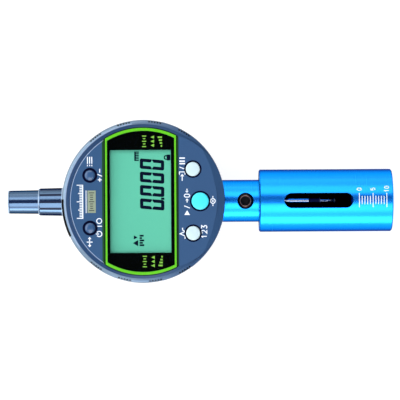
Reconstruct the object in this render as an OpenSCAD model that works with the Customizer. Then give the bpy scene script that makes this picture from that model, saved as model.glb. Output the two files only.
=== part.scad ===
// Digital dial indicator clamped in a slotted sleeve holder.
// Lies on its back: +X runs along the spindle towards the sleeve's open end,
// +Z is the way the display faces, and the origin is on the back cover, on the display's turning axis.

/* [Display unit] */
// Outer diameter of the front bezel
bezel_d = 59.2; // [59:0.1:60]
// Height of the display face above the back cover
face_z = 28; // [28:0.1:30]
// Width of the lime trim along the straight sides of the window
trim_w = 0.65; // [0.6:0.05:1]
// Width of the lime trim along the round ends of the window
trim_arc_w = 1; // [0.9:0.05:1.4]
// Grip notches in one group on the rim
notches_per_group = 5; // [3:1:6]

/* [Buttons] */
// Face radius of the two small grey buttons
small_button_r = 1.95; // [1.7:0.05:2.1]
// Face radius of the two white buttons
white_button_r = 2.55; // [2.2:0.05:2.7]
// Face radius of the zero button
zero_button_r = 3.1; // [2.7:0.05:3.2]
// Travel of a button
button_travel = 0.4; // [0.3:0.05:0.4]

/* [Spindle] */
// Height of the spindle axis above the back cover
axis_z = 12; // [11.9:0.1:12.2]
// Diameter of the spindle
spindle_d = 4.8; // [4.5:0.1:4.8]
// Measuring travel of the spindle
travel = 12.7; // [10:0.1:12.7]
// Diameter of the stem
stem_d = 8; // [7.9:0.1:8]

/* [Sleeve holder] */
// Outer diameter of the sleeve
sleeve_d = 23; // [22:0.5:23.5]
// Outer diameter of the neck
neck_d = 15.5; // [14:0.5:15.5]
// Length of the sleeve behind its shoulder
sleeve_len = 48.8; // [46:0.2:60]
// Length of the viewing slot
slot_len = 25.2; // [20:0.2:25.6]
// Width of the viewing slot
slot_w = 5.5; // [4:0.5:6]
// Diameter of the gauge seat in the open end
seat_d = 16; // [14:0.5:17]
// Depth of the gauge seat
seat_depth = 14; // [10:1:14]

/* [Hidden] */
$fn = 96;
eps = 0.01;
// Slip between pieces that are pressed or glued together
seat_gap = 0.01;
// Running clearance on the radius of the spindle and of the guide pin
run_gap = 0.04;

// Stack of the fixed case, from the back cover up
cover_t = 2;
gasket_t = 0.4;
case_r = 27.5;
case_wall = 1.8;
case_z0 = cover_t + gasket_t;
deck_top = axis_z + 4.7;
deck_t = 1.4;
deck_z0 = deck_top - deck_t;
deck_hole_r = 11.1;

// Stack of the display unit
bezel_r = bezel_d / 2;
skirt_r = 28.4;
skirt_in_r = 26.9;
bezel_z0 = deck_top + 0.5;
base_z0 = deck_top + 0.9;
base_t = 1.3;
board_t = 1;
board_z0 = base_z0 + base_t + 1.1;
board_top = board_z0 + board_t;
front_t = 2.5;
front_z0 = face_z - front_t;
pocket_z = face_z - 1.9;
mask_t = 0.4;
lens_drop = 0.1;
lcd_t = 2.1;
lcd_top = front_z0 - 0.1;
hub_r = deck_hole_r - 0.1;
hub_in_r = 9;
hub_z0 = axis_z + 2.75;
ring_t = 0.4;
ring_r = 13;
ring_mouth = 4.4;
ring_eye_at = 12.1;
ring_eye_r = 0.45;
ring_eye_deg = 18;
ring_top = deck_z0 - 0.05;
ring_groove_r = hub_r - 0.6;

// Bezel outline: flat face, bevel, rounded shoulder, wall, undercut lip and skirt
panel_r = 26.75;
bevel_r = 28.15;
bevel_drop = 1.1;
shoulder_r = 1.15;
shoulder_steps = 8;
lip_z0 = axis_z + 9.3;
groove_w = 0.3;
groove_d = 0.3;
groove_end_x = 12;
case_chamfer = 0.6;

// Lower panel: a round lobe that runs out over the bevel, falling away past a wide arc
lobe_x = 5.2;
lobe_r = 24.9;
lobe_clip_r = bezel_r - 0.15;
fall_x = -12;
fall_r = 38.4;
fall_slope = 0.45;
fall_run = 8;

// Window: a slice of a disc between two straight sides
window_x0 = -13.72;
window_x1 = 11.96;
window_arc_r = 26.6;
window_gap = 0.22;
window_side_gap = 0.9;
lens_gap = 0.05;
view_x0 = -12.12;
view_x1 = 10.05;
view_half_y = 18.65;
view_ledge = 0.8;

// LCD, its holder and the elastomer strips that join it to the board
lcd_margin = 1.2;
holder_margin = 1.8;
strip_w = 1.4;
strip_half_y = 17;
strip_gap = 0.3;

// Main board on the ledge of the display base, and the chips on it: middle and size
board_r = 26.2;
ledge_w = 1;
CHIPS = [
    [[-2, 0], [9, 9, 1.1]],
    [[-3, 11], [5, 6, 1]],
    [[5, -10], [4, 5, 1]],
    [[-5, -9], [3, 7, 1.2]],
    [[6, 8], [1.6, 3.2, 0.9]],
    [[6, 3], [1.6, 3.2, 0.9]]
];
connector_margin = 0.6;
connector_y = [-1, 1.2];

// Grip notches on the rim
notch_r = 0.42;
notch_sink = 0.1;
notch_pitch_deg = 2.02;
notch_group_deg = [59, 81.5, 104, 126.5];

// Data socket on the rim
port_mid_deg = 191.7;
port_deg = 24.6;
port_flange_deg = 27;
port_z0 = lip_z0 + 0.2;
port_h = 2.6;
port_cover_h = 3.8;
port_cover_t = 0.68;
port_in_r = 24.7;
port_step_r = 26;
port_recess_r = 26.6;
port_face_r = 28.2;
port_wall = 0.5;
port_gap = 0.1;
port_pins = 5;
port_pin_r = 0.28;
port_pin_len = 1.4;
port_pin_deg = 3.8;

// Buttons: place and face radius, from the power button round to the preset button
small_x = -19.3;
small_y = 9.55;
white_x = 18;
white_y = 11.6;
zero_x = 20.6;
BUTTONS = [
    [small_x, -small_y, small_button_r],
    [small_x, small_y, small_button_r],
    [white_x, white_y, white_button_r],
    [zero_x, 0, zero_button_r],
    [white_x, -white_y, white_button_r]
];
button_gap = 0.5;
button_proud = 0.45;
button_dome_r = 14;
button_chamfer = 0.25;
button_flange = 0.7;
button_flange_t = 0.9;
plunger_r = 1.2;
dome_h = 1.3;
dome_r = [2, 1.3];
keypad_r = 25.5;
keypad_left_x = [-22, -16.4];
keypad_right_x = [14.6, 24];
keypad_margin_y = 3;
dome_gap = button_travel + 0.05;
pad_t = 0.4;

// Screw posts of the bezel
post_r = 1.9;
post_ring_r = 24.6;
post_deg = [48, 132, 228, 312];
post_gap = 0.4;
post_screw_len = 4;

// Display stops: an arc on the base runs against a pin in the deck, opposite it at rest
stop_r = 20;
stop_pin_deg = 90;
stop_pin_r = 0.8;
stop_arc_deg = 24.6;
stop_w = 2;
stop_h = 0.75;
friction_r = 16;
friction_w = 1.6;
friction_sink = 0.6;
stop_pin_sink = 1;

// Spindle, guides and sleeve along X
spindle_r = spindle_d / 2;
spindle_x0 = -35.2;
spindle_x1 = 60.6;
guide_r = spindle_r + run_gap;
stem_r = stem_d / 2;
stem_bore_r = 3;
stem_x0 = 19.6;
stem_x1 = 46.5;
stem_chamfer = 0.4;
bush_len = 6;
boss_r = deck_top - axis_z;
boss_x0 = 19.6;
collar_x = 28.8;
cap_seat_x = -27.9;
cap_seal_t = 0.7;
cap_step_x = -39;
cap_tip_x = -50.2;
cap_base_r = 5.2;
cap_step_r = 5;
cap_mid_r = 4.38;
cap_tip_r = 4.25;
cap_bore_r = 2.9;
cap_spigot_r = 3.95;
cap_spigot_x = -25.2;
cap_round = 0.6;
cap_chamfer = [0.6, 0.3];
cap_wall = 1.4;
flutes = 12;
flute_r = 0.42;
flute_flange = 1.2;

// Sleeve holder along X
shoulder_x = 42.3;
sleeve_x1 = shoulder_x + sleeve_len;
sleeve_bore_r = 6.5;
sleeve_bore_x0 = 44;
slot_mid_x = 63.9;
sleeve_chamfer = 0.4;
seat_chamfer = 0.6;
screw_x = 37.2;
screw_r = 2.95;
screw_hole_r = 3;
screw_z0 = axis_z + stem_r + 0.8;
screw_edge_h = 0.5;
screw_top = axis_z + neck_d / 2 - 0.5;
screw_edge_r = 2.05;
screw_socket_af = 3;
screw_socket_depth = 1.8;
pad_r = 2.3;
clamp_pad_t = 0.7;
clamp_pad_gap = 0.05;

// Contact point along X
contact_collar_r = 2.1;
contact_collar_x1 = 64.9;
contact_shank_r = 1.5;
contact_neck_r = 1.15;
contact_stud_r = 1.2;
contact_stud_len = 6;
tip_r = 1.5;
tip_x = 69.2;

// Encoder and guide inside the case
carrier_half_x = 4;
carrier_half_y = 4.5;
carrier_z0 = axis_z - 4.6;
carrier_z1 = axis_z - 0.2;
pin_z = axis_z - 2.4;
pin_r = 0.9;
pin_y1 = 7.5;
pin_sink = 2.4;
rail_y = 6;
rail_t = 1.6;
rail_half_h = 1.6;
rail_x0 = -18.5;
rail_x1 = 15.3;
rail_lug = 3;
rail_foot_y1 = 11;
rail_foot_t = 1.2;
rail_screw_y = 9.3;
scale_x0 = -6;
scale_x1 = 17.5;
scale_y0 = -1.2;
scale_y1 = 5.8;
scale_t = 1;
scale_z0 = carrier_z0 - scale_t;
head_gap = 0.3;
head_half_x = 3;
head_y = [-0.5, 5];
head_t = 0.9;
encoder_z1 = scale_z0 - head_gap - head_t;
encoder_t = 1.2;
encoder_x = [-12.5, 12];
encoder_y = [-1, 15];
standoffs = [[-10.5, 12.5], [9.5, 13]];
standoff_r = 1.6;
lead_w = 5;
lead_t = 0.25;
lead_y = 7.95;
lead_foot_y1 = 11;
lead_z1 = board_z0 - 1;
small_screw_r = 0.75;
small_head_r = 1.4;
small_head_t = 0.7;
small_screw_len = 1.9;
carrier_screw_x = [-2, 2];
carrier_screw_len = 2.5;
carrier_head_sink = 0.1;

// Return spring: straight ends on its axis, the coil between them
spring_y = -7;
spring_z = pin_z;
spring_peg_x = -2.5;
spring_peg_r = 0.8;
spring_peg_len = 4;
spring_post_x = 16.5;
spring_post_r = 0.9;
spring_post_end = 1.2;
spring_coil_r = 1.6;
spring_wire = 0.5;
spring_curls = 13;
spring_rings = 8;
spring_sides = 6;
spring_end = 1;

// Battery under its coin-slot lid
battery_y = -13;
battery_r = 10;
battery_t = 3.2;
battery_z0 = 3.2;
battery_step = [1.2, 0.4];
lid_r = 11;
lid_gap = 0.15;
lid_drop = 0.25;
lid_tab_r = 11.7;
lid_tab_deg = 24;
lid_turn_deg = 60;
lid_rim_w = 1.4;
lid_top = 2.75;
lid_tab_z0 = cover_t + 0.15;
coin_slot = [11, 1.8, 0.8];
holder_in_r = 10.25;
holder_r = 11.4;
holder_z0 = 3.1;
holder_z1 = 7;
holder_skirt_r = 12.6;
holder_skirt_in_r = 11.95;
holder_skirt_h = 1.7;
holder_hole_r = 6;
holder_plate_t = 0.4;
holder_trim_r = 24.6;
clip_t = 0.18;
clip_r = [8.5, 3];
clip_tab_half_w = 1.2;
clip_tab_y = [3.5, 5.4];

// Screws of the back cover
cover_screw_r = 1;
cover_screw_ring = 21.5;
cover_head_r = 1.9;
cover_head_t = 1.1;
cover_head_drop = 0.2;
cover_screw_len = 8;
cover_boss_r = 2.4;
spigot_in_r = 25;
spigot_r = 25.6;

function arc_points(r, a0, a1, n, at) =
    [for (i = [0:n]) at + r * [cos(a0 + (a1 - a0) * i / n), sin(a0 + (a1 - a0) * i / n)]];

// Bezel profile in radius and height
bezel_profile = concat(
    [[0, face_z], [0, bezel_z0], [skirt_r, bezel_z0]],
    [[skirt_r, lip_z0 - (bezel_r - skirt_r)], [bezel_r, lip_z0]],
    arc_points(shoulder_r, 0, 90, shoulder_steps, [bezel_r - shoulder_r, face_z - bevel_drop - shoulder_r]),
    [[bevel_r, face_z - bevel_drop], [panel_r, face_z]]
);

// Centre line of the return spring
spring_x0 = spring_peg_x + spring_peg_r + 0.05;
spring_x1 = spring_post_x - spring_post_r - 0.05;
coil_x0 = spring_x0 + spring_end;
coil_x1 = spring_x1 - spring_end;
spring_steps = spring_curls * spring_rings;
function spring_swell(t) = min(1, 8 * t, 8 * (1 - t));
function coil_point(i) =
    let (t = i / spring_steps, a = 360 * i / spring_rings, r = spring_coil_r * spring_swell(t))
    [coil_x0 + (coil_x1 - coil_x0) * t, spring_y + r * cos(a), spring_z + r * sin(a)];
spring_path = concat(
    [[spring_x0, spring_y, spring_z]],
    [for (i = [0:spring_steps]) coil_point(i)],
    [[spring_x1, spring_y, spring_z]]
);
spring_gap = min([
    for (i = [0:len(spring_path) - 1], j = [i + spring_rings - 2:1:len(spring_path) - 1])
        norm(spring_path[i] - spring_path[j])
]) - spring_wire;
echo(return_spring_least_gap_mm = spring_gap);

// Shapes that repeat

module tube(r, r_in, z0, z1) {
    translate([0, 0, z0]) difference() {
        cylinder(r = r, h = z1 - z0);
        translate([0, 0, -1]) cylinder(r = r_in, h = z1 - z0 + 2);
    }
}

module rod_x(x0, x1, r, r_end = undef) {
    translate([x0, 0, axis_z]) rotate([0, 90, 0])
        cylinder(r1 = r, r2 = is_undef(r_end) ? r : r_end, h = x1 - x0);
}

module tube_x(x0, x1, r, r_in) {
    difference() {
        rod_x(x0, x1, r);
        rod_x(x0 - 1, x1 + 1, r_in);
    }
}

module block(x, y, z) {
    translate([x[0], y[0], z[0]]) cube([x[1] - x[0], y[1] - y[0], z[1] - z[0]]);
}

module at_polar(r, a) {
    rotate([0, 0, a]) translate([r, 0, 0]) children();
}

module sector(r0, r1, z0, z1, mid_deg, deg) {
    rotate([0, 0, mid_deg - deg / 2]) rotate_extrude(angle = deg)
        translate([r0, z0]) square([r1 - r0, z1 - z0]);
}

module window_slice(inset, arc_inset) {
    intersection() {
        circle(r = window_arc_r - arc_inset);
        translate([window_x0 + inset, -window_arc_r])
            square([window_x1 - window_x0 - 2 * inset, 2 * window_arc_r]);
    }
}

module view_rect(grow) {
    translate([view_x0 - grow, -view_half_y - grow])
        square([view_x1 - view_x0 + 2 * grow, 2 * (view_half_y + grow)]);
}

module slab(z0, z1) {
    translate([0, 0, z0]) linear_extrude(z1 - z0) children();
}

// Screw with its head at the bottom, the shank standing up
module screw_up(head_r, head_t, r, len) {
    slot = [head_r * 1.2, head_r * 0.28, head_t * 0.5];
    difference() {
        union() {
            cylinder(r = head_r, h = head_t);
            translate([0, 0, head_t - eps]) cylinder(r = r, h = len);
        }
        for (a = [0, 90])
            rotate([0, 0, a]) translate([-slot[0] / 2, -slot[1] / 2, -eps]) cube(slot);
    }
}

module each_post() {
    for (a = post_deg)
        at_polar(post_ring_r, a) children();
}

module each_cover_screw() {
    for (a = [45:90:315])
        at_polar(cover_screw_ring, a) children();
}

// Display unit

module bezel_solid() {
    rotate_extrude() polygon(bezel_profile);
    lobe_h = front_t + 1;
    intersection() {
        translate([lobe_x, 0, face_z - lobe_h]) cylinder(r = lobe_r, h = lobe_h);
        translate([0, 0, face_z - lobe_h]) cylinder(r = lobe_clip_r, h = lobe_h);
        translate([fall_x, 0, 0]) rotate_extrude()
            polygon([
                [0, bezel_z0],
                [fall_r + fall_run, bezel_z0],
                [fall_r + fall_run, face_z - fall_run * fall_slope],
                [fall_r, face_z],
                [0, face_z]
            ]);
    }
}

module grip_notches() {
    for (side = [-1, 1], group = notch_group_deg, i = [0:notches_per_group - 1])
        at_polar(bezel_r + notch_sink, side * (group + (i - (notches_per_group - 1) / 2) * notch_pitch_deg))
            translate([0, 0, lip_z0 - 2]) cylinder(r = notch_r, h = face_z - lip_z0 + 2, $fn = 24);
}

module front_bezel() {
    color("#41567f") difference() {
        union() {
            difference() {
                bezel_solid();
                translate([0, 0, bezel_z0 - 1]) cylinder(r = skirt_in_r, h = front_z0 - bezel_z0 + 1);
            }
            each_post() translate([0, 0, base_z0 + base_t])
                cylinder(r = post_r, h = front_z0 - base_z0 - base_t + 1);
        }
        slab(pocket_z, face_z + 1) window_slice(-window_side_gap, -window_gap);
        slab(front_z0 - 1, face_z) view_rect(view_ledge);
        for (b = BUTTONS)
            translate([b[0], b[1], front_z0 - 1]) cylinder(r = b[2] + button_gap, h = front_t + 2);
        intersection() {
            tube(panel_r, panel_r - groove_w, face_z - groove_d, face_z + 1);
            block([-bezel_r, groove_end_x], [-bezel_r, bezel_r], [face_z - 1, face_z + 1]);
        }
        grip_notches();
        sector(
            port_in_r, bezel_r + 1, port_z0 - port_gap, port_z0 + port_h + port_gap,
            port_mid_deg, port_deg + 0.4
        );
        each_post() translate([0, 0, base_z0]) cylinder(r = small_screw_r, h = 5);
    }
}

module window_trim() {
    color("#6ee02e") difference() {
        slab(pocket_z, face_z) window_slice(0, 0);
        slab(pocket_z - 1, face_z + 1) window_slice(trim_w, trim_arc_w);
    }
}

module window_lens() {
    color("#dfeee8", 0.3) slab(pocket_z + mask_t, face_z - lens_drop)
        window_slice(trim_w + lens_gap, trim_arc_w + lens_gap);
}

module window_mask() {
    color("#0c0e0d") difference() {
        slab(pocket_z, pocket_z + mask_t) window_slice(trim_w + lens_gap, trim_arc_w + lens_gap);
        slab(pocket_z - 1, pocket_z + 1) view_rect(0);
    }
}

module lcd_panel() {
    color("#7fc8a9") slab(lcd_top - lcd_t, lcd_top) view_rect(lcd_margin);
}

module lcd_holder() {
    shelf_z = lcd_top - lcd_t;
    color("#e8e8e2") difference() {
        slab(board_top, lcd_top) view_rect(holder_margin);
        slab(shelf_z, lcd_top + 1) view_rect(lcd_margin + lens_gap);
        slab(board_top - 1, lcd_top) view_rect(lcd_margin - strip_w - 2 * strip_gap);
        for (x = [view_x0, view_x1])
            block(
                [x - strip_w / 2 - strip_gap, x + strip_w / 2 + strip_gap],
                [-strip_half_y - strip_gap, strip_half_y + strip_gap],
                [board_top - 1, lcd_top]
            );
    }
}

module contact_strips() {
    color("#3a3a3c")
        for (x = [view_x0, view_x1])
            block(
                [x - strip_w / 2, x + strip_w / 2], [-strip_half_y, strip_half_y],
                [board_top, lcd_top - lcd_t]
            );
}

module main_board() {
    color("#1f6b3f") difference() {
        translate([0, 0, board_z0]) cylinder(r = board_r, h = board_t);
        each_post() translate([0, 0, board_z0 - 1]) cylinder(r = post_r + post_gap, h = board_t + 2);
    }
}

module board_chips() {
    color("#222326") {
        for (c = CHIPS)
            translate([c[0][0] - c[1][0] / 2, c[0][1] - c[1][1] / 2, board_top]) cube(c[1]);
        block(
                [-lead_w / 2 - connector_margin, lead_w / 2 + connector_margin],
                lead_y * [1, 1] + connector_y,
                [lead_z1, board_z0]
            );
    }
}

module keypad_membrane() {
    left_half_y = small_y + keypad_margin_y;
    right_half_y = white_y + keypad_margin_y;
    pad_z = [board_top, board_top + pad_t];
    color("#55585c") {
        block(keypad_left_x, [-left_half_y, left_half_y], pad_z);
        intersection() {
            block(keypad_right_x, [-right_half_y, right_half_y], pad_z);
            translate([0, 0, board_top]) cylinder(r = keypad_r, h = 1);
        }
        for (b = BUTTONS)
            translate([b[0], b[1], board_top + pad_t - eps])
                cylinder(r1 = dome_r[0], r2 = dome_r[1], h = dome_h - pad_t);
    }
}

module display_base() {
    color("#3a4a66") difference() {
        union() {
            translate([0, 0, base_z0]) cylinder(r = skirt_in_r - 0.1, h = base_t);
            tube(board_r, board_r - ledge_w, base_z0 + base_t - eps, board_z0);
            translate([0, 0, hub_z0]) cylinder(r = hub_r, h = base_z0 - hub_z0 + eps);
            sector(
                stop_r - stop_w / 2, stop_r + stop_w / 2, base_z0 - stop_h, base_z0 + eps,
                stop_pin_deg + 180, stop_arc_deg
            );
        }
        translate([0, 0, hub_z0 - 1]) cylinder(r = hub_in_r, h = 6);
        tube(hub_r + 1, ring_groove_r, ring_top - ring_t - 0.03, ring_top + 0.03);
        each_post() {
            translate([0, 0, base_z0 - 1]) cylinder(r = small_screw_r + 0.2, h = 3);
            translate([0, 0, base_z0 - 1]) cylinder(r = small_head_r + 0.2, h = 1 + small_head_t);
            translate([0, 0, base_z0 + base_t]) cylinder(r = post_r + post_gap, h = 3);
        }
    }
}

module base_screws() {
    color("#b8bcc2") each_post() translate([0, 0, base_z0])
        screw_up(small_head_r, small_head_t, small_screw_r - seat_gap, post_screw_len);
}

module retaining_ring() {
    color("#9aa0a6") difference() {
        tube(ring_r, ring_groove_r + 0.05, ring_top - ring_t, ring_top);
        block([0, ring_r + 1], [-ring_mouth / 2, ring_mouth / 2], [ring_top - 1, ring_top + 1]);
        for (a = [ring_eye_deg, -ring_eye_deg])
            at_polar(ring_eye_at, a) translate([0, 0, ring_top - 1]) cylinder(r = ring_eye_r, h = 2);
    }
}

module data_socket() {
    color("#17181a") difference() {
        union() {
            sector(port_in_r, port_step_r + eps, board_top, port_z0 + port_h, port_mid_deg, port_deg);
            sector(port_step_r, port_face_r, port_z0, port_z0 + port_h, port_mid_deg, port_deg);
        }
        sector(
            port_recess_r, port_face_r + 1, port_z0 + port_wall, port_z0 + port_h - port_wall,
            port_mid_deg, port_deg - 3
        );
    }
    color("#c9a94a")
        for (i = [0:port_pins - 1])
            at_polar(port_recess_r - port_pin_r, port_mid_deg + (i - (port_pins - 1) / 2) * port_pin_deg)
                translate([0, 0, port_z0 + port_h / 2]) rotate([0, 90, 0])
                    cylinder(r = port_pin_r, h = port_pin_len);
}

module data_port_cover() {
    round = 0.3;
    z0 = port_z0 - 0.15;
    z1 = z0 + port_cover_h;
    flange_r = bezel_r + port_cover_t;
    color("#101113") {
        rotate([0, 0, port_mid_deg - port_flange_deg / 2]) rotate_extrude(angle = port_flange_deg)
            polygon([
                [bezel_r + seat_gap, z0],
                [flange_r - round, z0],
                [flange_r, z0 + round],
                [flange_r, z1 - round],
                [flange_r - round, z1],
                [bezel_r + seat_gap, z1]
            ]);
        sector(port_face_r + 0.05, bezel_r + 0.1, port_z0, port_z0 + port_h, port_mid_deg, port_deg);
    }
}

module button(i, tint) {
    b = BUTTONS[i];
    top = face_z + button_proud;
    flange_top = front_z0 - 0.1;
    plunger_z0 = board_top + dome_h + dome_gap;
    color(tint) translate([b[0], b[1], 0]) intersection() {
        union() {
            translate([0, 0, flange_top - eps])
                cylinder(r = b[2], h = top - button_chamfer - flange_top + eps);
            translate([0, 0, top - button_chamfer - eps])
                cylinder(r1 = b[2], r2 = b[2] - button_chamfer, h = button_chamfer + eps);
            translate([0, 0, flange_top - button_flange_t])
                cylinder(r = b[2] + button_flange, h = button_flange_t);
            translate([0, 0, plunger_z0]) cylinder(r = plunger_r, h = flange_top - plunger_z0);
        }
        translate([0, 0, top - button_dome_r]) sphere(r = button_dome_r);
    }
}

module power_button() { button(0, "#5a6b8c"); }
module menu_button() { button(1, "#5a6b8c"); }
module hold_button() { button(2, "#f2f5f5"); }
module zero_button() { button(3, "#5fe0f5"); }
module preset_button() { button(4, "#f2f5f5"); }

// Fixed case

module rear_case() {
    in_r = case_r - case_wall;
    color("#3f5378") difference() {
        union() {
            difference() {
                rotate_extrude() polygon([
                    [0, case_z0],
                    [case_r, case_z0],
                    [case_r, deck_top - case_chamfer],
                    [case_r - case_chamfer, deck_top],
                    [0, deck_top]
                ]);
                translate([0, 0, case_z0 - 1]) cylinder(r = in_r, h = deck_z0 - case_z0 + 1);
            }
            rod_x(boss_x0, collar_x, boss_r);
            rod_x(cap_seat_x, -boss_x0, boss_r);
            each_cover_screw() translate([0, 0, cover_t])
                cylinder(r = cover_boss_r, h = deck_z0 - cover_t + eps);
            for (s = standoffs)
                translate([s[0], s[1], encoder_z1]) cylinder(r = standoff_r, h = deck_z0 - encoder_z1 + eps);
            translate([spring_post_x, spring_y, spring_z - spring_post_end])
                cylinder(r = spring_post_r, h = deck_z0 - spring_z + spring_post_end + eps);
        }
        rod_x(boss_x0 - 1, collar_x + 1, stem_r + seat_gap);
        rod_x(cap_seat_x - 1, 1 - boss_x0, stem_r + seat_gap);
        translate([0, 0, deck_z0 - 1]) cylinder(r = deck_hole_r, h = deck_t + 2);
        tube(
            friction_r + friction_w / 2 + 0.05, friction_r - friction_w / 2 - 0.05,
            deck_top - friction_sink, deck_top + 1
        );
        at_polar(stop_r, stop_pin_deg) translate([0, 0, deck_top - stop_pin_sink])
            cylinder(r = stop_pin_r + seat_gap, h = stop_pin_sink + 1);
        each_cover_screw() translate([0, 0, cover_t - 1])
            cylinder(r = cover_screw_r, h = cover_screw_len + 1.5);
        for (s = standoffs)
            translate([s[0], s[1], encoder_z1 - 1]) cylinder(r = small_screw_r, h = 3.5);
        for (x = [rail_x0, rail_x1 - rail_lug])
            translate([x + rail_lug / 2, rail_screw_y, deck_z0 - 1]) cylinder(r = small_screw_r, h = 2);
    }
}

module back_cover() {
    edge = 0.6;
    color("#39496a") difference() {
        union() {
            rotate_extrude() polygon([
                [0, 0],
                [case_r - edge, 0],
                [case_r, edge],
                [case_r, cover_t],
                [0, cover_t]
            ]);
            tube(spigot_r, spigot_in_r, cover_t - eps, cover_t + 1);
        }
        translate([0, battery_y, -1]) {
            cylinder(r = lid_r + lid_gap, h = cover_t + 2);
            for (a = [0, 180])
                sector(lid_r - 1, lid_tab_r + lid_gap, 0, cover_t + 2, a + lid_turn_deg, lid_tab_deg + 3);
        }
        each_cover_screw() translate([0, 0, -1]) {
            cylinder(r = cover_screw_r + 0.15, h = cover_t + 2);
            cylinder(r = cover_head_r + 0.15, h = 1 + cover_head_drop + cover_head_t);
        }
    }
}

module back_cover_screws() {
    color("#aeb4bb") each_cover_screw() translate([0, 0, cover_head_drop])
        screw_up(cover_head_r, cover_head_t, cover_screw_r - seat_gap, cover_screw_len);
}

module back_gasket() {
    color("#16171a") tube(case_r - 0.2, spigot_r + 0.1, cover_t, case_z0);
}

module battery() {
    color("#c9ccd0") translate([0, battery_y, battery_z0]) {
        cylinder(r = battery_r - battery_step[0], h = battery_t);
        translate([0, 0, battery_step[1]]) cylinder(r = battery_r, h = battery_t - battery_step[1]);
    }
}

module battery_holder() {
    plate_z0 = holder_z1 - holder_plate_t;
    color("#26282b") intersection() {
        translate([0, battery_y, 0]) {
            tube(holder_r, holder_in_r, holder_z0, holder_z1);
            tube(holder_in_r + eps, holder_hole_r, plate_z0, holder_z1);
            tube(holder_skirt_r, holder_skirt_in_r, cover_t, cover_t + holder_skirt_h);
            tube(holder_skirt_in_r + eps, holder_r - eps, holder_z0, cover_t + holder_skirt_h);
        }
        cylinder(r = holder_trim_r, h = holder_z1 + 1);
    }
}

module battery_clip() {
    clip_z0 = battery_z0 + battery_t;
    color("#d2d5d8") {
        translate([0, battery_y, 0]) tube(clip_r[0], clip_r[1], clip_z0, clip_z0 + clip_t);
        block([-clip_tab_half_w, clip_tab_half_w], battery_y * [1, 1] + clip_tab_y, [clip_z0, holder_z1]);
    }
}

module battery_lid() {
    color("#39496a") translate([0, battery_y, 0]) difference() {
        union() {
            translate([0, 0, lid_drop]) cylinder(r = lid_r, h = cover_t - lid_drop);
            tube(lid_r, lid_r - lid_rim_w, cover_t - eps, lid_top);
            for (a = [0, 180])
                sector(lid_r - 0.5, lid_tab_r, lid_tab_z0, lid_top, a, lid_tab_deg);
        }
        translate([-coin_slot[0] / 2, -coin_slot[1] / 2, lid_drop - eps]) cube(coin_slot);
    }
}

module stem() {
    color("#c3c8ce") difference() {
        union() {
            rod_x(stem_x0, stem_x1 - stem_chamfer, stem_r);
            rod_x(stem_x1 - stem_chamfer - eps, stem_x1, stem_r, stem_r - stem_chamfer);
        }
        rod_x(stem_x0 - 1, stem_x1 + 1, stem_bore_r);
    }
}

module lower_guide_bush() {
    color("#b08d4f") tube_x(stem_x1 - bush_len, stem_x1 - 0.2, stem_bore_r - seat_gap, guide_r);
}

module upper_guide_bush() {
    color("#b08d4f") tube_x(cap_spigot_x + 0.2, -boss_x0, stem_r - seat_gap, guide_r);
}

module spindle_cap() {
    base_x = cap_seat_x - cap_seal_t;
    taper_deg = atan2(cap_base_r - cap_step_r, base_x - cap_step_x);
    flute_len = base_x - flute_flange - cap_step_x;
    color("#6d82a3") difference() {
        union() {
            rod_x(cap_step_x, cap_step_x + cap_chamfer[0] + eps, cap_step_r - cap_chamfer[1], cap_step_r);
            rod_x(cap_step_x + cap_chamfer[0], base_x, cap_step_r, cap_base_r);
            rod_x(cap_tip_x + cap_round, cap_step_x + eps, cap_tip_r, cap_mid_r);
            rod_x(cap_tip_x, cap_tip_x + cap_round + eps, cap_tip_r - cap_round, cap_tip_r);
            rod_x(base_x - eps, cap_spigot_x, cap_spigot_r);
        }
        rod_x(cap_tip_x + cap_wall, cap_spigot_x + 1, cap_bore_r);
        for (i = [0:flutes - 1])
            translate([0, 0, axis_z]) rotate([360 * i / flutes, 0, 0])
                translate([cap_step_x, 0, cap_step_r]) rotate([0, 90 - taper_deg, 0])
                    translate([0, 0, -1]) cylinder(r = flute_r, h = flute_len + 1, $fn = 24);
    }
}

module cap_seal() {
    color("#101113") tube_x(cap_seat_x - cap_seal_t, cap_seat_x, boss_r, cap_spigot_r + 0.05);
}

module guide_rail() {
    slot_x0 = -travel - 0.1;
    slot_x1 = 0.1;
    color("#a9afb6") difference() {
        union() {
            block([rail_x0, rail_x1], [rail_y, rail_y + rail_t], [pin_z - rail_half_h, pin_z + rail_half_h]);
            for (x = [rail_x0, rail_x1 - rail_lug]) {
                block([x, x + rail_lug], [rail_y, rail_y + rail_t], [pin_z - rail_half_h, deck_z0]);
                block([x, x + rail_lug], [rail_y, rail_foot_y1], [deck_z0 - rail_foot_t, deck_z0]);
            }
        }
        block(
            [slot_x0, slot_x1], [rail_y - 1, rail_y + rail_t + 1],
            [pin_z - pin_r - run_gap, pin_z + pin_r + run_gap]
        );
        for (x = [slot_x0, slot_x1])
            translate([x, rail_y - 1, pin_z])
                rotate([-90, 0, 0]) cylinder(r = pin_r + run_gap, h = rail_t + 2);
        for (x = [rail_x0, rail_x1 - rail_lug])
            translate([x + rail_lug / 2, rail_screw_y, deck_z0 - rail_foot_t - 1])
                cylinder(r = small_screw_r + 0.1, h = rail_foot_t + 2);
    }
}

module encoder_board() {
    color("#1f6b3f") difference() {
        block(encoder_x, encoder_y, [encoder_z1 - encoder_t, encoder_z1]);
        for (s = standoffs)
            translate([s[0], s[1], encoder_z1 - encoder_t - 1])
                cylinder(r = small_screw_r + 0.1, h = encoder_t + 2);
    }
}

module encoder_head() {
    color("#2b2d31") block([-head_half_x, head_half_x], head_y, [encoder_z1, encoder_z1 + head_t]);
}

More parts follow.
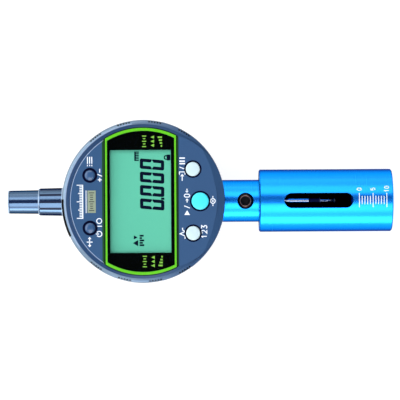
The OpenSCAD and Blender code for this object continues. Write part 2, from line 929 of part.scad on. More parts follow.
module bracket_screws() {
    color("#b8bcc2") {
        for (s = standoffs)
            translate([s[0], s[1], encoder_z1 - encoder_t - small_head_t])
                screw_up(small_head_r, small_head_t, small_screw_r - seat_gap, small_screw_len);
        for (x = [rail_x0, rail_x1 - rail_lug])
            translate([x + rail_lug / 2, rail_screw_y, deck_z0 - rail_foot_t - small_head_t])
                screw_up(small_head_r, small_head_t, small_screw_r - seat_gap, small_screw_len);
    }
}

module flex_lead() {
    color("#b9762a") {
        block([-lead_w / 2, lead_w / 2], [lead_y, lead_foot_y1], [encoder_z1, encoder_z1 + lead_t]);
        block([-lead_w / 2, lead_w / 2], [lead_y, lead_y + lead_t], [encoder_z1, lead_z1]);
    }
}

module friction_ring() {
    color("#1b1c1f") tube(
        friction_r + friction_w / 2, friction_r - friction_w / 2,
        deck_top - friction_sink, base_z0 - 0.05
    );
}

module stop_pin() {
    color("#c3c8ce") at_polar(stop_r, stop_pin_deg) translate([0, 0, deck_top - stop_pin_sink])
        cylinder(r = stop_pin_r, h = stop_pin_sink + base_z0 - deck_top - 0.15);
}

// Tube along a path that runs mostly in X, with its rings square to the local direction
module wire_tube(path, r, sides) {
    last = len(path) - 1;
    points = [
        for (i = [0:last])
            let (
                ahead = path[min(i + 1, last)] - path[max(i - 1, 0)],
                dir = (i == 0 || i == last) ? [1, 0, 0] : ahead / norm(ahead),
                side = cross(dir, [0, 0, 1]) / norm(cross(dir, [0, 0, 1])),
                up = cross(side, dir)
            )
            for (k = [0:sides - 1])
                path[i] + r * (cos(360 * k / sides) * side + sin(360 * k / sides) * up)
    ];
    walls = [
        for (i = [0:last - 1], k = [0:sides - 1])
            let (a = i * sides + k, b = i * sides + (k + 1) % sides)
            each [[a, a + sides, b], [b, a + sides, b + sides]]
    ];
    start = [for (k = [1:sides - 2]) [0, k, k + 1]];
    end = [for (k = [1:sides - 2]) [last * sides, last * sides + k + 1, last * sides + k]];
    polyhedron(points = points, faces = concat(walls, start, end));
}

module return_spring() {
    color("#c7ccd2") wire_tube(spring_path, spring_wire / 2, spring_sides);
}

// Sleeve holder

module gauge_sleeve() {
    neck_r = neck_d / 2;
    sleeve_r = sleeve_d / 2;
    seat_x0 = sleeve_x1 - seat_depth;
    slot_run = slot_len - slot_w;
    color("#1565e0") difference() {
        union() {
            rod_x(collar_x, shoulder_x + eps, neck_r);
            rod_x(shoulder_x, shoulder_x + sleeve_chamfer, sleeve_r - sleeve_chamfer, sleeve_r);
            rod_x(shoulder_x + sleeve_chamfer, sleeve_x1 - sleeve_chamfer, sleeve_r);
            rod_x(sleeve_x1 - sleeve_chamfer, sleeve_x1, sleeve_r, sleeve_r - sleeve_chamfer);
        }
        rod_x(collar_x - 1, sleeve_bore_x0 + 1, stem_r + seat_gap);
        rod_x(sleeve_bore_x0, seat_x0 + 1, sleeve_bore_r);
        rod_x(seat_x0, sleeve_x1 + 1, seat_d / 2);
        rod_x(sleeve_x1 - seat_chamfer, sleeve_x1 + eps, seat_d / 2, seat_d / 2 + seat_chamfer);
        translate([slot_mid_x, 0, axis_z]) {
            block([-slot_run / 2, slot_run / 2], [-slot_w / 2, slot_w / 2], [0, sleeve_d]);
            for (x = [-slot_run / 2, slot_run / 2])
                translate([x, 0, 0]) cylinder(r = slot_w / 2, h = sleeve_d);
        }
        translate([screw_x, 0, axis_z]) cylinder(r = screw_hole_r, h = sleeve_d);
    }
}

module clamp_pad() {
    color("#b5913f") translate([screw_x, 0, axis_z + stem_r + clamp_pad_gap])
        cylinder(r = pad_r, h = clamp_pad_t);
}

module set_screw() {
    color("#1a1a1c") translate([screw_x, 0, 0]) difference() {
        union() {
            translate([0, 0, screw_z0]) cylinder(r = screw_r, h = screw_top - screw_edge_h - screw_z0);
            translate([0, 0, screw_top - screw_edge_h - eps])
                cylinder(r1 = screw_r, r2 = screw_edge_r, h = screw_edge_h + eps);
        }
        translate([0, 0, screw_top - screw_socket_depth])
            cylinder(r = screw_socket_af / sqrt(3), h = screw_socket_depth + 1, $fn = 6);
    }
}

// Spindle and what rides on it

module spindle() {
    edge = 0.4;
    color("#d4d8dc") difference() {
        union() {
            rod_x(spindle_x0, spindle_x0 + edge, spindle_r - edge, spindle_r);
            rod_x(spindle_x0 + edge - eps, spindle_x1, spindle_r);
        }
        rod_x(spindle_x1 - contact_stud_len - 0.5, spindle_x1 + 1, contact_stud_r + seat_gap);
        for (x = carrier_screw_x)
            translate([x, 0, axis_z - spindle_r - 1]) cylinder(r = small_screw_r, h = 2.8);
    }
}

module scale_carrier() {
    color("#8d939b") difference() {
        union() {
            block(
                [-carrier_half_x, carrier_half_x], [-carrier_half_y, carrier_half_y],
                [carrier_z0, carrier_z1]
            );
            translate([spring_peg_x, -carrier_half_y + eps, spring_z]) rotate([90, 0, 0])
                cylinder(r = spring_peg_r, h = spring_peg_len);
        }
        rod_x(-carrier_half_x - 1, carrier_half_x + 1, spindle_r + seat_gap);
        translate([0, carrier_half_y - pin_sink - 0.1, pin_z]) rotate([-90, 0, 0])
            cylinder(r = pin_r + seat_gap, h = pin_sink + 1);
        for (x = carrier_screw_x) {
            translate([x, 0, carrier_z0 - 1]) cylinder(r = small_screw_r + 0.1, h = 5);
            translate([x, 0, carrier_z0 - 1])
                cylinder(r = small_head_r + 0.1, h = 1 + carrier_head_sink + small_head_t);
        }
    }
}

module carrier_screws() {
    color("#b8bcc2")
        for (x = carrier_screw_x)
            translate([x, 0, carrier_z0 + carrier_head_sink])
                screw_up(small_head_r, small_head_t, small_screw_r - seat_gap, carrier_screw_len);
}

module guide_pin() {
    y0 = carrier_half_y - pin_sink;
    color("#d4d8dc") translate([0, y0, pin_z]) rotate([-90, 0, 0]) cylinder(r = pin_r, h = pin_y1 - y0);
}

module encoder_scale() {
    color("#c9dfe6") block([scale_x0, scale_x1], [scale_y0, scale_y1], [scale_z0, carrier_z0]);
}

module contact_point() {
    edge = 0.3;
    color("#3b3f46") difference() {
        union() {
            rod_x(spindle_x1 - contact_stud_len, spindle_x1 + eps, contact_stud_r);
            rod_x(spindle_x1, spindle_x1 + edge, contact_collar_r - edge, contact_collar_r);
            rod_x(spindle_x1 + edge, contact_collar_x1 - edge, contact_collar_r);
            rod_x(contact_collar_x1 - edge, contact_collar_x1, contact_collar_r, contact_collar_r - edge);
            rod_x(contact_collar_x1 - eps, tip_x, contact_shank_r, contact_neck_r);
        }
        translate([tip_x, 0, axis_z]) sphere(r = tip_r + seat_gap);
    }
}

module contact_tip() {
    color("#24262b") translate([tip_x, 0, axis_z]) sphere(r = tip_r);
}

rear_case();
back_cover();
back_cover_screws();
back_gasket();
battery();
battery_holder();
battery_clip();
battery_lid();
stem();
lower_guide_bush();
upper_guide_bush();
spindle_cap();
cap_seal();
guide_rail();
encoder_board();
encoder_head();
bracket_screws();
flex_lead();
friction_ring();
stop_pin();
return_spring();
gauge_sleeve();
clamp_pad();
set_screw();
spindle();
scale_carrier();
carrier_screws();
guide_pin();
encoder_scale();
contact_point();
contact_tip();
front_bezel();
window_trim();
window_lens();
window_mask();
lcd_panel();
lcd_holder();
contact_strips();
main_board();
board_chips();
keypad_membrane();
display_base();
base_screws();
retaining_ring();
data_socket();
data_port_cover();
power_button();
menu_button();
hold_button();
zero_button();
preset_button();
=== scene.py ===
"""Looks of a digital dial indicator in a slotted sleeve holder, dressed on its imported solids.

Sizes are in millimetres, and MM turns them into the frame's metres. The face reads with +Y to the
right and -X up, so its marks are drawn in face coordinates: u to the right and v up.
"""

import logging
import math
from dataclasses import dataclass, field
from enum import Enum
from typing import Any, Callable, Sequence

import bmesh
import bpy
from mathutils import Matrix, Vector


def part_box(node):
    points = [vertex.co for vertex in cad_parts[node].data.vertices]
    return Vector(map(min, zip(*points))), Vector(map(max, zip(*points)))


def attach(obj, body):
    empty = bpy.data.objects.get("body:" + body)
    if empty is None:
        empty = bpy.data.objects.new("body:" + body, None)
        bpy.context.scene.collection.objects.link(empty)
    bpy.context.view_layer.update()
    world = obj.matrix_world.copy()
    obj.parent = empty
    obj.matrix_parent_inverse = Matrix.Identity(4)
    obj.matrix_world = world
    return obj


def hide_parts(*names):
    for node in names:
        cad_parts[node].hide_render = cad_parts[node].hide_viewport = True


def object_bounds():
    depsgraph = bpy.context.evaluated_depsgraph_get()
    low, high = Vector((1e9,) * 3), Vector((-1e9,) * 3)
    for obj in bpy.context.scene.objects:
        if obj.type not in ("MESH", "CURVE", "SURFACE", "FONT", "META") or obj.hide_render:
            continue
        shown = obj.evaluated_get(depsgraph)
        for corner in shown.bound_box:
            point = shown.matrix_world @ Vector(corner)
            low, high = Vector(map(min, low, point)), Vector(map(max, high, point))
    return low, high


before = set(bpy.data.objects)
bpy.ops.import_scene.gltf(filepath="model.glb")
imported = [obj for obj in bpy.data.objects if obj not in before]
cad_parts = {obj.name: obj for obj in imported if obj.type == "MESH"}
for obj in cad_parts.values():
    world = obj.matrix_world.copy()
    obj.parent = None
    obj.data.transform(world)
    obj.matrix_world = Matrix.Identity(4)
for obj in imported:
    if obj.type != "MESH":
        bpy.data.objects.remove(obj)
CAD_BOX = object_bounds()

LOG = logging.getLogger("indicator")
MM = 0.001
SPINDLE_Z = 12.0
# Middle of the bezel's rounded shoulder: distance from the turn axis, and height
SHOULDER = (28.45, 25.75)
AXIS_START = (-60.0, 0.0, SPINDLE_Z)
FULL_TURN = 360.0
SHARP_DEG = 40.0
SAME_POINT_MM = 1e-4
ROUND_STEPS = 8

Point = tuple[float, float]
Outline = list[Point]
Place = Callable[[float, float, float], Vector]
Socket = bpy.types.NodeSocket
Tree = bpy.types.NodeTree


class Body(Enum):
    """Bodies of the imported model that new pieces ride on."""

    CASE = "case_body"
    DISPLAY = "display_unit"
    POWER = "power_key"
    MENU = "menu_key"
    HOLD = "hold_key"
    ZERO = "zero_key"
    PRESET = "preset_key"
    SCREW = "grub"
    PORT = "port_plug"


class Axis(Enum):
    """Axis that a surface was turned, ground or drawn along."""

    X = (1.0, 0.02, 0.02)
    Y = (0.02, 1.0, 0.02)
    NONE = (1.0, 1.0, 1.0)


class Zone(Enum):
    """Distances that a finish may change over, as weights of X, Y and Z from the axis' start."""

    FROM_SPINDLE = (0.0, 1.0, 1.0)
    ALONG_SPINDLE = (1.0, 0.0, 0.0)
    ABOVE_SPINDLE = (0.0, 0.0, 1.0)


def linear(code: str) -> tuple[float, float, float, float]:
    """Turns an sRGB hex colour into linear RGBA.

    Args:
        code: Colour such as "#3d5380".

    Returns:
        Linear red, green and blue, and an alpha of 1.
    """
    parts = [int(code[i:i + 2], 16) / 255 for i in (1, 3, 5)]
    red, green, blue = (p / 12.92 if p <= 0.04045 else ((p + 0.055) / 1.055) ** 2.4 for p in parts)
    return red, green, blue, 1.0


def add_node(
    tree: Tree, kind: str, settings: dict[Any, Any] | None = None, links: dict[Any, Socket] | None = None
) -> bpy.types.Node:
    """Adds a shader node with its settings and links.

    Args:
        tree: Node tree that takes the node.
        kind: Blender's name for the node.
        settings: Values for attributes, or for sockets by name or number.
        links: Output sockets, by the name or number of the input that they feed.

    Returns:
        The new node.
    """
    node = tree.nodes.new(kind)
    for key, value in (settings or {}).items():
        if isinstance(key, str) and hasattr(node, key):
            setattr(node, key, value)
        else:
            node.inputs[key].default_value = value
    for key, output in (links or {}).items():
        tree.links.new(output, node.inputs[key])
    return node


# Depth of the noise in a surface's grain and in its patches of shade
GRAIN_OCTAVES = {"Detail": 3.0, "Roughness": 0.6}
DRIFT_OCTAVES = {"Detail": 4.0}


@dataclass(frozen=True)
class Finish:
    """A surface whose colour drifts a little between two shades and whose grain breaks its gloss.

    Attributes:
        name: The material's common name and how its surface was made.
        colour: Main colour.
        shade: Colour that the main one drifts towards.
        roughness: Middle roughness.
        spread: How far the grain moves the roughness either way.
        grain_mm: Width of the grain.
        relief_mm: Height of the grain.
        drift_mm: Width of the patches of shade.
        metallic: 1 for a bare metal.
        ior: Index of refraction, where it isn't a metal.
        lay: Axis that the surface was turned or ground along.
        edge: Colour of a metal's reflection at a glancing angle.
        coat: Weight of a clear coat.
    """

    name: str
    colour: str
    shade: str
    roughness: float
    spread: float = 0.06
    grain_mm: float = 0.5
    relief_mm: float = 0.02
    drift_mm: float = 8.0
    metallic: float = 0.0
    ior: float = 1.5
    lay: Axis = Axis.NONE
    edge: str = "#ffffff"
    coat: float = 0.0

    def material(self) -> bpy.types.Material:
        """Makes the material on its first use and gives the same one after that.

        Returns:
            The material.
        """
        made = bpy.data.materials.get(self.name)
        if made is None:
            made = bpy.data.materials.new(self.name)
            made.use_nodes = True
            self.wire(made.node_tree, made.node_tree.nodes["Principled BSDF"])
        return made

    def wire(self, tree: Tree, shader: bpy.types.Node) -> None:
        """Sets the shader's own sockets, and links the colour, the roughness and the relief.

        Args:
            tree: Node tree of the material.
            shader: Its Principled shader.
        """
        shader.inputs["Metallic"].default_value = self.metallic
        shader.inputs["Specular Tint"].default_value = linear(self.edge)
        shader.inputs["Coat Weight"].default_value = self.coat
        if not self.metallic:
            shader.inputs["IOR"].default_value = self.ior
        place = add_node(tree, "ShaderNodeTexCoord").outputs["Object"]
        grain = self.grain(tree, place)
        limits = {"To Min": self.roughness - self.spread, "To Max": self.roughness + self.spread}
        rough = add_node(tree, "ShaderNodeMapRange", limits, {"Value": grain})
        bump = add_node(tree, "ShaderNodeBump", {"Distance": self.relief_mm * MM}, {"Height": grain})
        tree.links.new(self.tone(tree, place), shader.inputs["Base Color"])
        tree.links.new(rough.outputs["Result"], shader.inputs["Roughness"])
        tree.links.new(bump.outputs["Normal"], shader.inputs["Normal"])

    def grain(self, tree: Tree, place: Socket) -> Socket:
        """Fine pattern of the surface, drawn out along its lay.

        Args:
            tree: Node tree of the material.
            place: Coordinates in the object's frame.

        Returns:
            The pattern's height, from 0 to 1.
        """
        stretch = {"operation": "MULTIPLY", 1: self.lay.value}
        drawn = add_node(tree, "ShaderNodeVectorMath", stretch, {0: place}).outputs["Vector"]
        pattern = {"Scale": 1 / (self.grain_mm * MM), **GRAIN_OCTAVES}
        return add_node(tree, "ShaderNodeTexNoise", pattern, {"Vector": drawn}).outputs["Fac"]

    def tone(self, tree: Tree, place: Socket) -> Socket:
        """Colour of the surface, drifting between its two shades.

        Args:
            tree: Node tree of the material.
            place: Coordinates in the object's frame.

        Returns:
            The colour.
        """
        pattern = {"Scale": 1 / (self.drift_mm * MM), **DRIFT_OCTAVES}
        patches = add_node(tree, "ShaderNodeTexNoise", pattern, {"Vector": place}).outputs["Fac"]
        ends = {"data_type": "RGBA", 6: linear(self.colour), 7: linear(self.shade)}
        return add_node(tree, "ShaderNodeMix", ends, {0: patches}).outputs[2]


@dataclass(frozen=True)
class Band:
    """Another colour, metal and gloss that a surface turns to across a limit.

    Attributes:
        zone: Distance that the limit is set on.
        near_mm: Distance where the change starts.
        far_mm: Distance where it is done.
        colour: Colour past the limit.
        metallic: Share of metal past it.
        roughness: Roughness past it.
    """

    zone: Zone
    near_mm: float
    far_mm: float
    colour: str
    metallic: float
    roughness: float

    def mask(self, tree: Tree, place: Socket) -> Socket:
        """Share of the band at each point.

        Args:
            tree: Node tree of the material.
            place: Coordinates in the object's frame.

        Returns:
            The share, from 0 to 1.
        """
        start = tuple(side * MM for side in AXIS_START)
        for step in ({"operation": "SUBTRACT", 1: start}, {"operation": "MULTIPLY", 1: self.zone.value}):
            place = add_node(tree, "ShaderNodeVectorMath", step, {0: place}).outputs["Vector"]
        reach = add_node(tree, "ShaderNodeVectorMath", {"operation": "LENGTH"}, {0: place}).outputs["Value"]
        limits = {"From Min": self.near_mm * MM, "From Max": self.far_mm * MM}
        return add_node(tree, "ShaderNodeMapRange", limits, {"Value": reach}).outputs["Result"]


@dataclass(frozen=True)
class ZonedFinish(Finish):
    """A surface with bands of another finish.

    Attributes:
        bands: The bands, each over the ones before it.
    """

    bands: tuple[Band, ...] = ()

    def wire(self, tree: Tree, shader: bpy.types.Node) -> None:
        """Mixes the bands into the plain wiring.

        Args:
            tree: Node tree of the material.
            shader: Its Principled shader.
        """
        super().wire(tree, shader)
        place = add_node(tree, "ShaderNodeTexCoord").outputs["Object"]
        metals = {self.metallic, *(band.metallic for band in self.bands)}
        for band in self.bands:
            mask = band.mask(tree, place)
            for name, kind, first, second, value in (
                ("Base Color", "RGBA", 6, 7, linear(band.colour)),
                ("Roughness", "FLOAT", 2, 3, band.roughness),
                ("Metallic", "FLOAT", 2, 3, band.metallic),
            ):
                socket = shader.inputs[name]
                if name == "Metallic" and len(metals) == 1:
                    continue
                ends = {"data_type": kind, first: socket.default_value, second: value}
                mixed = add_node(tree, "ShaderNodeMix", ends, {0: mask})
                if socket.is_linked:
                    tree.links.new(socket.links[0].from_socket, mixed.inputs[first])
                tree.links.new(mixed.outputs[2 if kind == "RGBA" else 0], socket)


@dataclass(frozen=True)
class ClearFinish(Finish):
    """A clear sheet: mostly see-through, with a faint tint and a smooth gloss.

    Attributes:
        alpha: Share of the surface that isn't see-through.
    """

    alpha: float = 0.1

    def wire(self, tree: Tree, shader: bpy.types.Node) -> None:
        """Adds the see-through share to the plain wiring.

        Args:
            tree: Node tree of the material.
            shader: Its Principled shader.
        """
        super().wire(tree, shader)
        shader.inputs["Alpha"].default_value = self.alpha


@dataclass(frozen=True)
class BoardFinish(Finish):
    """A circuit board: solder mask with copper tracks that show through it as lighter lines.

    Attributes:
        pitch_mm: Size that the tracks' pattern is drawn in.
        track: Colour of a track.
        track_w: Width of a track, in pitches.
        row: Distance between the tracks, in pitches.
        run: Length between the tracks' branches, in pitches.
    """

    pitch_mm: float = 1.2
    track: str = "#3f9a62"
    track_w: float = 0.08
    row: float = 0.5
    run: float = 3.0

    def tone(self, tree: Tree, place: Socket) -> Socket:
        """Draws the tracks over the mask's own colour.

        Args:
            tree: Node tree of the material.
            place: Coordinates in the object's frame.

        Returns:
            The colour.
        """
        pattern = {
            "Scale": 1 / (self.pitch_mm * MM),
            "Color1": linear(self.colour),
            "Color2": linear(self.shade),
            "Mortar": linear(self.track),
            "Mortar Size": self.track_w,
            "Row Height": self.row,
            "Brick Width": self.run,
        }
        return add_node(tree, "ShaderNodeTexBrick", pattern, {"Vector": place}).outputs["Color"]


# Spark eroded mould texture on the face: an even satin that keeps it from mirroring the lights. The
# grain is drawn at 0.5 mm, some five times the real one, so that it shows. The bevel is painted a
# darker blue than the face: painted shade. The rounded rim under its foot has a metallic lacquer,
# which lights up on the side that faces a lamp. Where the button panel runs to the edge, on the side
# away from the left lamp, the bevel keeps the face's colour and the rim is bare plastic: the lacquer is
# left off there as painted shade.
BEZEL_ABS = ZonedFinish(
    "moulded_abs_blue_grey_lacquered_rim", "#37567a", "#314f70", 0.3, 0.06, 0.5, 0.01, 14.0, ior=1.22,
    bands=(
        # Painted shade: the bevel darker than the face
        Band(Zone.ABOVE_SPINDLE, 15.98, 15.9, "#213a5b", 0.0, 0.3),
        Band(Zone.ABOVE_SPINDLE, 15.02, 14.94, "#7c90a0", 0.9, 0.42),
        # Towards the button panel: the face's colour, and a bare plastic rim as painted shade
        Band(Zone.ALONG_SPINDLE, 50.0, 77.0, "#365376", 0.0, 0.3),
    ),
)
# Painted highlight: a thin pale line of smooth, glossy plastic on the face's edge and on the rim's crest,
# laid only on the side that faces the left lamp.
EDGE_HIGHLIGHT_ABS = Finish("painted_highlight_abs_pale_blue", "#9fb4d0", "#93a8c6", 0.2, 0.05, 0.4, 0.003, 6.0, ior=1.54)
# Same moulding in the base and the small inner housings, a shade darker.
INNER_ABS = Finish("moulded_abs_dark", "#232b3d", "#1c2333", 0.5, 0.06, 0.5, 0.012, ior=1.54)
# Stove enamel on the die cast case: a soft orange peel under a fair gloss.
CASE_ENAMEL = Finish("stove_enamel_blue_grey", "#2e3f63", "#283757", 0.34, 0.05, 1.4, 0.015, 16.0, coat=0.15)
# Nickel plated and polished cap: bright and dark bands run along it. Its reflection is tinted dark navy
# at glancing angles, a painted shade towards its edges.
CAP_NICKEL = Finish(
    "polished_nickel_plate_blue_grey", "#596f88", "#516780", 0.15, 0.04, 0.6, 0.002, 7.0, 1.0, edge="#0c1236"
)
# Painted highlights on the cap: pale metal rings on its end, on the chamfer of its step and on the
# flange at its foot, a soft pale line round each.
CAP_HIGHLIGHT_NICKEL = Finish("painted_highlight_nickel", "#a9bccf", "#9db1c5", 0.5, 0.06, 0.3, 0.003, 3.0, 1.0)
# Tinted acetal trim: bright, even colour with a slick surface.
LIME_TRIM = Finish("moulded_acetal_lime", "#5cba0c", "#64c61a", 0.26, 0.05, 0.7, 0.006, 9.0, ior=1.48)
# Hard coated acrylic window: so clear that the display keeps its colour and the mask its depth.
WINDOW = ClearFinish(
    "hard_coated_acrylic_clear", "#0a1210", "#0c1513", 0.06, 0.02, 2.0, 0.001, ior=1.49, alpha=0.05
)
# Black ink on the back of the window: it wets the plastic, so hardly any gloss is left on it.
MASK_INK = Finish("screen_printed_black_ink", "#020302", "#040504", 0.2, 0.05, 0.4, 0.004, ior=1.08)
# Reflective display: mint polariser over a silver reflector whose grain sparkles faintly.
LCD_GLASS = Finish("lcd_polariser_mint", "#63c7a4", "#6bcdaa", 0.3, 0.1, 0.35, 0.006, 20.0, ior=1.3)
# Driven segments: dark crystal under the same polariser, with a navy cast.
LCD_INK = Finish("lcd_segments_navy", "#050d22", "#071028", 0.3, 0.06, 0.3, 0.002, ior=1.12)
# Printed inks: thin films, opaque and nearly matt.
WHITE_INK = Finish("pad_printed_white_ink", "#f1f5f7", "#e6ecef", 0.5, 0.08, 0.3, 0.004, 2.0)
LIME_INK = Finish("screen_printed_lime_ink", "#86ca3a", "#79bb33", 0.45, 0.08, 0.3, 0.004, 2.0)
# Tinted foil with dark ticks: a dull gold grey with little gloss.
BADGE_FOIL = Finish("printed_foil_tan", "#8e9a80", "#838f76", 0.38, 0.08, 0.3, 0.004, 2.0)
DARK_INK = Finish("printed_dark_ink", "#2a2c2a", "#343630", 0.45, 0.06, 0.3, 0.004, 2.0)
# Moulded buttons: satin tops that the finger has smoothed.
GREY_KEY = Finish("moulded_pc_grey", "#315177", "#38577c", 0.16, 0.05, 0.4, 0.005, 4.0, ior=1.58)
WHITE_KEY = Finish("moulded_pc_white", "#cbe0df", "#c3d9d9", 0.36, 0.06, 0.4, 0.008, 4.0, ior=1.58)
CYAN_KEY = Finish("moulded_pc_cyan", "#3bdeee", "#47e4f2", 0.34, 0.06, 0.4, 0.008, 4.0, ior=1.58)
# Moulded rubber: dull black with a bloom of dust in its grain.
RUBBER = Finish("moulded_nitrile_black", "#030406", "#07080b", 0.68, 0.08, 0.35, 0.02, 3.0, ior=1.2)
# Painted shade round the buttons: a dark navy ring in each button's gap, which draws the shadow line round
# it.
BUTTON_GAP_SHADE = Finish("painted_button_gap_shade_navy", "#02051e", "#040826", 0.6, 0.06, 0.35, 0.006, 3.0, ior=1.1)
# Painted shadow round the window's trim: very dark green strips and lines where the trim meets the face,
# and a paler green lip that laps over the face.
TRIM_SHADOW_GREEN = Finish(
    "painted_trim_shadow_dark_green", "#03170c", "#05200f", 0.45, 0.06, 0.35, 0.006, 3.0, ior=1.25
)
TRIM_SHADOW_LIP_GREEN = Finish("painted_trim_shadow_mid_green", "#184620", "#143e1c", 0.5, 0.06, 0.35, 0.006, 3.0, ior=1.25)
# Painted shade in the cap's flutes: a dark navy fill for the shade in the narrow grooves, between the
# plated lands that shine.
FLUTE_SHADE = Finish("painted_flute_shade_navy", "#0c1734", "#0f1b3c", 0.4, 0.06, 0.3, 0.004, 2.0, ior=1.3)
# Conductive silicone: a dull mid grey that takes the light softly.
SILICONE = Finish("moulded_silicone_grey", "#55585c", "#4c4f53", 0.6, 0.06, 0.35, 0.01, 3.0)
# Unpigmented polycarbonate: milky white with a soft gloss.
HOLDER_PC = Finish("moulded_pc_natural", "#e2e2da", "#d8d8cf", 0.4, 0.05, 0.5, 0.008)
# Anodised sleeve: turned on a lathe before dyeing, so faint rings run round it and soften its
# highlights. Its reflection is tinted near black at glancing angles: painted shade along its edges. The
# rings are drawn at 0.35 mm, three times the real feed. The deep bore is painted near black: painted
# shade inside it.
SLEEVE_ANODISED = ZonedFinish(
    "anodised_aluminium_blue_turned", "#209eff", "#1e9bfe", 0.27, 0.01, 0.35, 0.0001, 10.0, 0.97,
    # Painted shade: the near black edge tint, and the near black band in the bore
    lay=Axis.X, edge="#00021a", bands=(Band(Zone.FROM_SPINDLE, 7.6, 6.9, "#020304", 0.85, 0.6),),
)
# Ground and lapped steel: bright, with hair lines round the shaft.
GROUND_STEEL = Finish("ground_steel", "#ced3d8", "#bfc5cb", 0.2, 0.06, 0.25, 0.002, 6.0, 1.0, lay=Axis.X)
# Lapped shaft: close to a mirror, so that it shows as one thin bright line in the sleeve's dark bore.
LAPPED_STEEL = Finish("lapped_steel", "#d8dee4", "#ccd3da", 0.09, 0.02, 0.25, 0.0004, 6.0, 1.0, lay=Axis.X)
# Bright nickel over pressed steel: pale, with a slightly uneven gloss.
PLATED_STEEL = Finish("nickel_plated_steel", "#b9bfc5", "#adb3ba", 0.28, 0.06, 0.4, 0.003, 4.0, 1.0)
# Black oxide: a thin dark skin over steel, worn lighter where a key has turned.
BLACK_OXIDE = Finish("black_oxide_steel", "#1a1a1e", "#2a2826", 0.36, 0.08, 0.3, 0.004, 1.5, 1.0)
# Contact point: a blued collar, then a bare ground shank.
BLUED_STEEL = ZonedFinish(
    "blued_steel_turned", "#20264a", "#181d3c", 0.3, 0.06, 0.3, 0.003, 2.0, 1.0, lay=Axis.X,
    bands=(Band(Zone.ALONG_SPINDLE, 124.8, 124.95, "#d5dde4", 1.0, 0.1),),
)
# Painted highlight on the set screw: a brownish steel ring round its socket, where the chamfer catches the
# light.
SCREW_RIM_HIGHLIGHT = Finish("painted_highlight_screw_rim_steel", "#7e6661", "#6c5651", 0.3, 0.08, 0.3, 0.004, 1.0, 1.0)
# Lapped carbide ball: dark grey and almost a mirror.
CARBIDE = Finish("lapped_carbide", "#3a3d44", "#33363c", 0.14, 0.03, 0.3, 0.001, 2.0, 1.0)
# Milled aluminium: pale, with fine tool lines across it.
PLAIN_ALLOY = Finish("machined_aluminium", "#b4b9bf", "#a7acb3", 0.34, 0.06, 0.3, 0.003, 4.0, 1.0, lay=Axis.Y)
# Turned brass: a warm yellow with fine rings.
BRASS = Finish("turned_brass", "#c9a55a", "#bb964c", 0.28, 0.06, 0.3, 0.003, 4.0, 1.0, lay=Axis.X)
# Solder mask over copper: a green gloss with the tracks as lighter lines.
SOLDER_MASK = BoardFinish("solder_mask_green", "#1d5c38", "#195232", 0.3, 0.05, 0.5, 0.01)
# Moulded epoxy: black and matt, with a fine grit.
CHIP_RESIN = Finish("moulded_epoxy_black", "#1c1d20", "#232428", 0.5, 0.06, 0.3, 0.008)
# Polyimide film: a slick amber brown.
FLEX_FILM = Finish("polyimide_film_amber", "#b9722a", "#a86522", 0.3, 0.05, 0.6, 0.004)
# Etched glass: half clear, pale and faintly frosted.
SCALE_GLASS = ClearFinish(
    "etched_glass_scale", "#c4dbe4", "#b4ced8", 0.12, 0.04, 0.4, 0.002, ior=1.52, alpha=0.6
)

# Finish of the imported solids. Those that a moulding stands for take its finish too.
SOLID_FINISHES: dict[Finish, tuple[str, ...]] = {
    BEZEL_ABS: ("front_bezel",),
    INNER_ABS: ("display_base", "battery_holder", "data_socket"),
    CASE_ENAMEL: ("rear_case", "back_cover", "battery_lid"),
    CAP_NICKEL: ("spindle_cap",),
    LIME_TRIM: ("window_trim",),
    WINDOW: ("window_lens",),
    MASK_INK: ("window_mask",),
    LCD_GLASS: ("lcd_panel",),
    HOLDER_PC: ("lcd_holder",),
    GREY_KEY: ("power_button", "menu_button"),
    WHITE_KEY: ("hold_button", "preset_button"),
    CYAN_KEY: ("zero_button",),
    RUBBER: ("data_port_cover", "cap_seal", "back_gasket", "friction_ring"),
    SILICONE: ("keypad_membrane", "contact_strips"),
    SLEEVE_ANODISED: ("gauge_sleeve",),
    PLAIN_ALLOY: ("scale_carrier", "guide_rail"),
    GROUND_STEEL: ("stem", "guide_pin", "stop_pin", "return_spring", "retaining_ring"),
    LAPPED_STEEL: ("spindle",),
    PLATED_STEEL: (
        "back_cover_screws", "bracket_screws", "carrier_screws", "base_screws", "battery", "battery_clip"
    ),
    BLACK_OXIDE: ("set_screw",),
    BLUED_STEEL: ("contact_point",),
    CARBIDE: ("contact_tip",),
    BRASS: ("lower_guide_bush", "upper_guide_bush", "clamp_pad"),
    SOLDER_MASK: ("main_board", "encoder_board"),
    CHIP_RESIN: ("board_chips", "encoder_head"),
    FLEX_FILM: ("flex_lead",),
    SCALE_GLASS: ("encoder_scale",),
}


def dress(node: str, finish: Finish) -> None:
    """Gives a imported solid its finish.

    Args:
        node: Name of the solid.
        finish: Finish that its material slots take.
    """
    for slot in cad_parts[node].material_slots:
        slot.material = finish.material()
    LOG.info("%s: %s", node, finish.name)


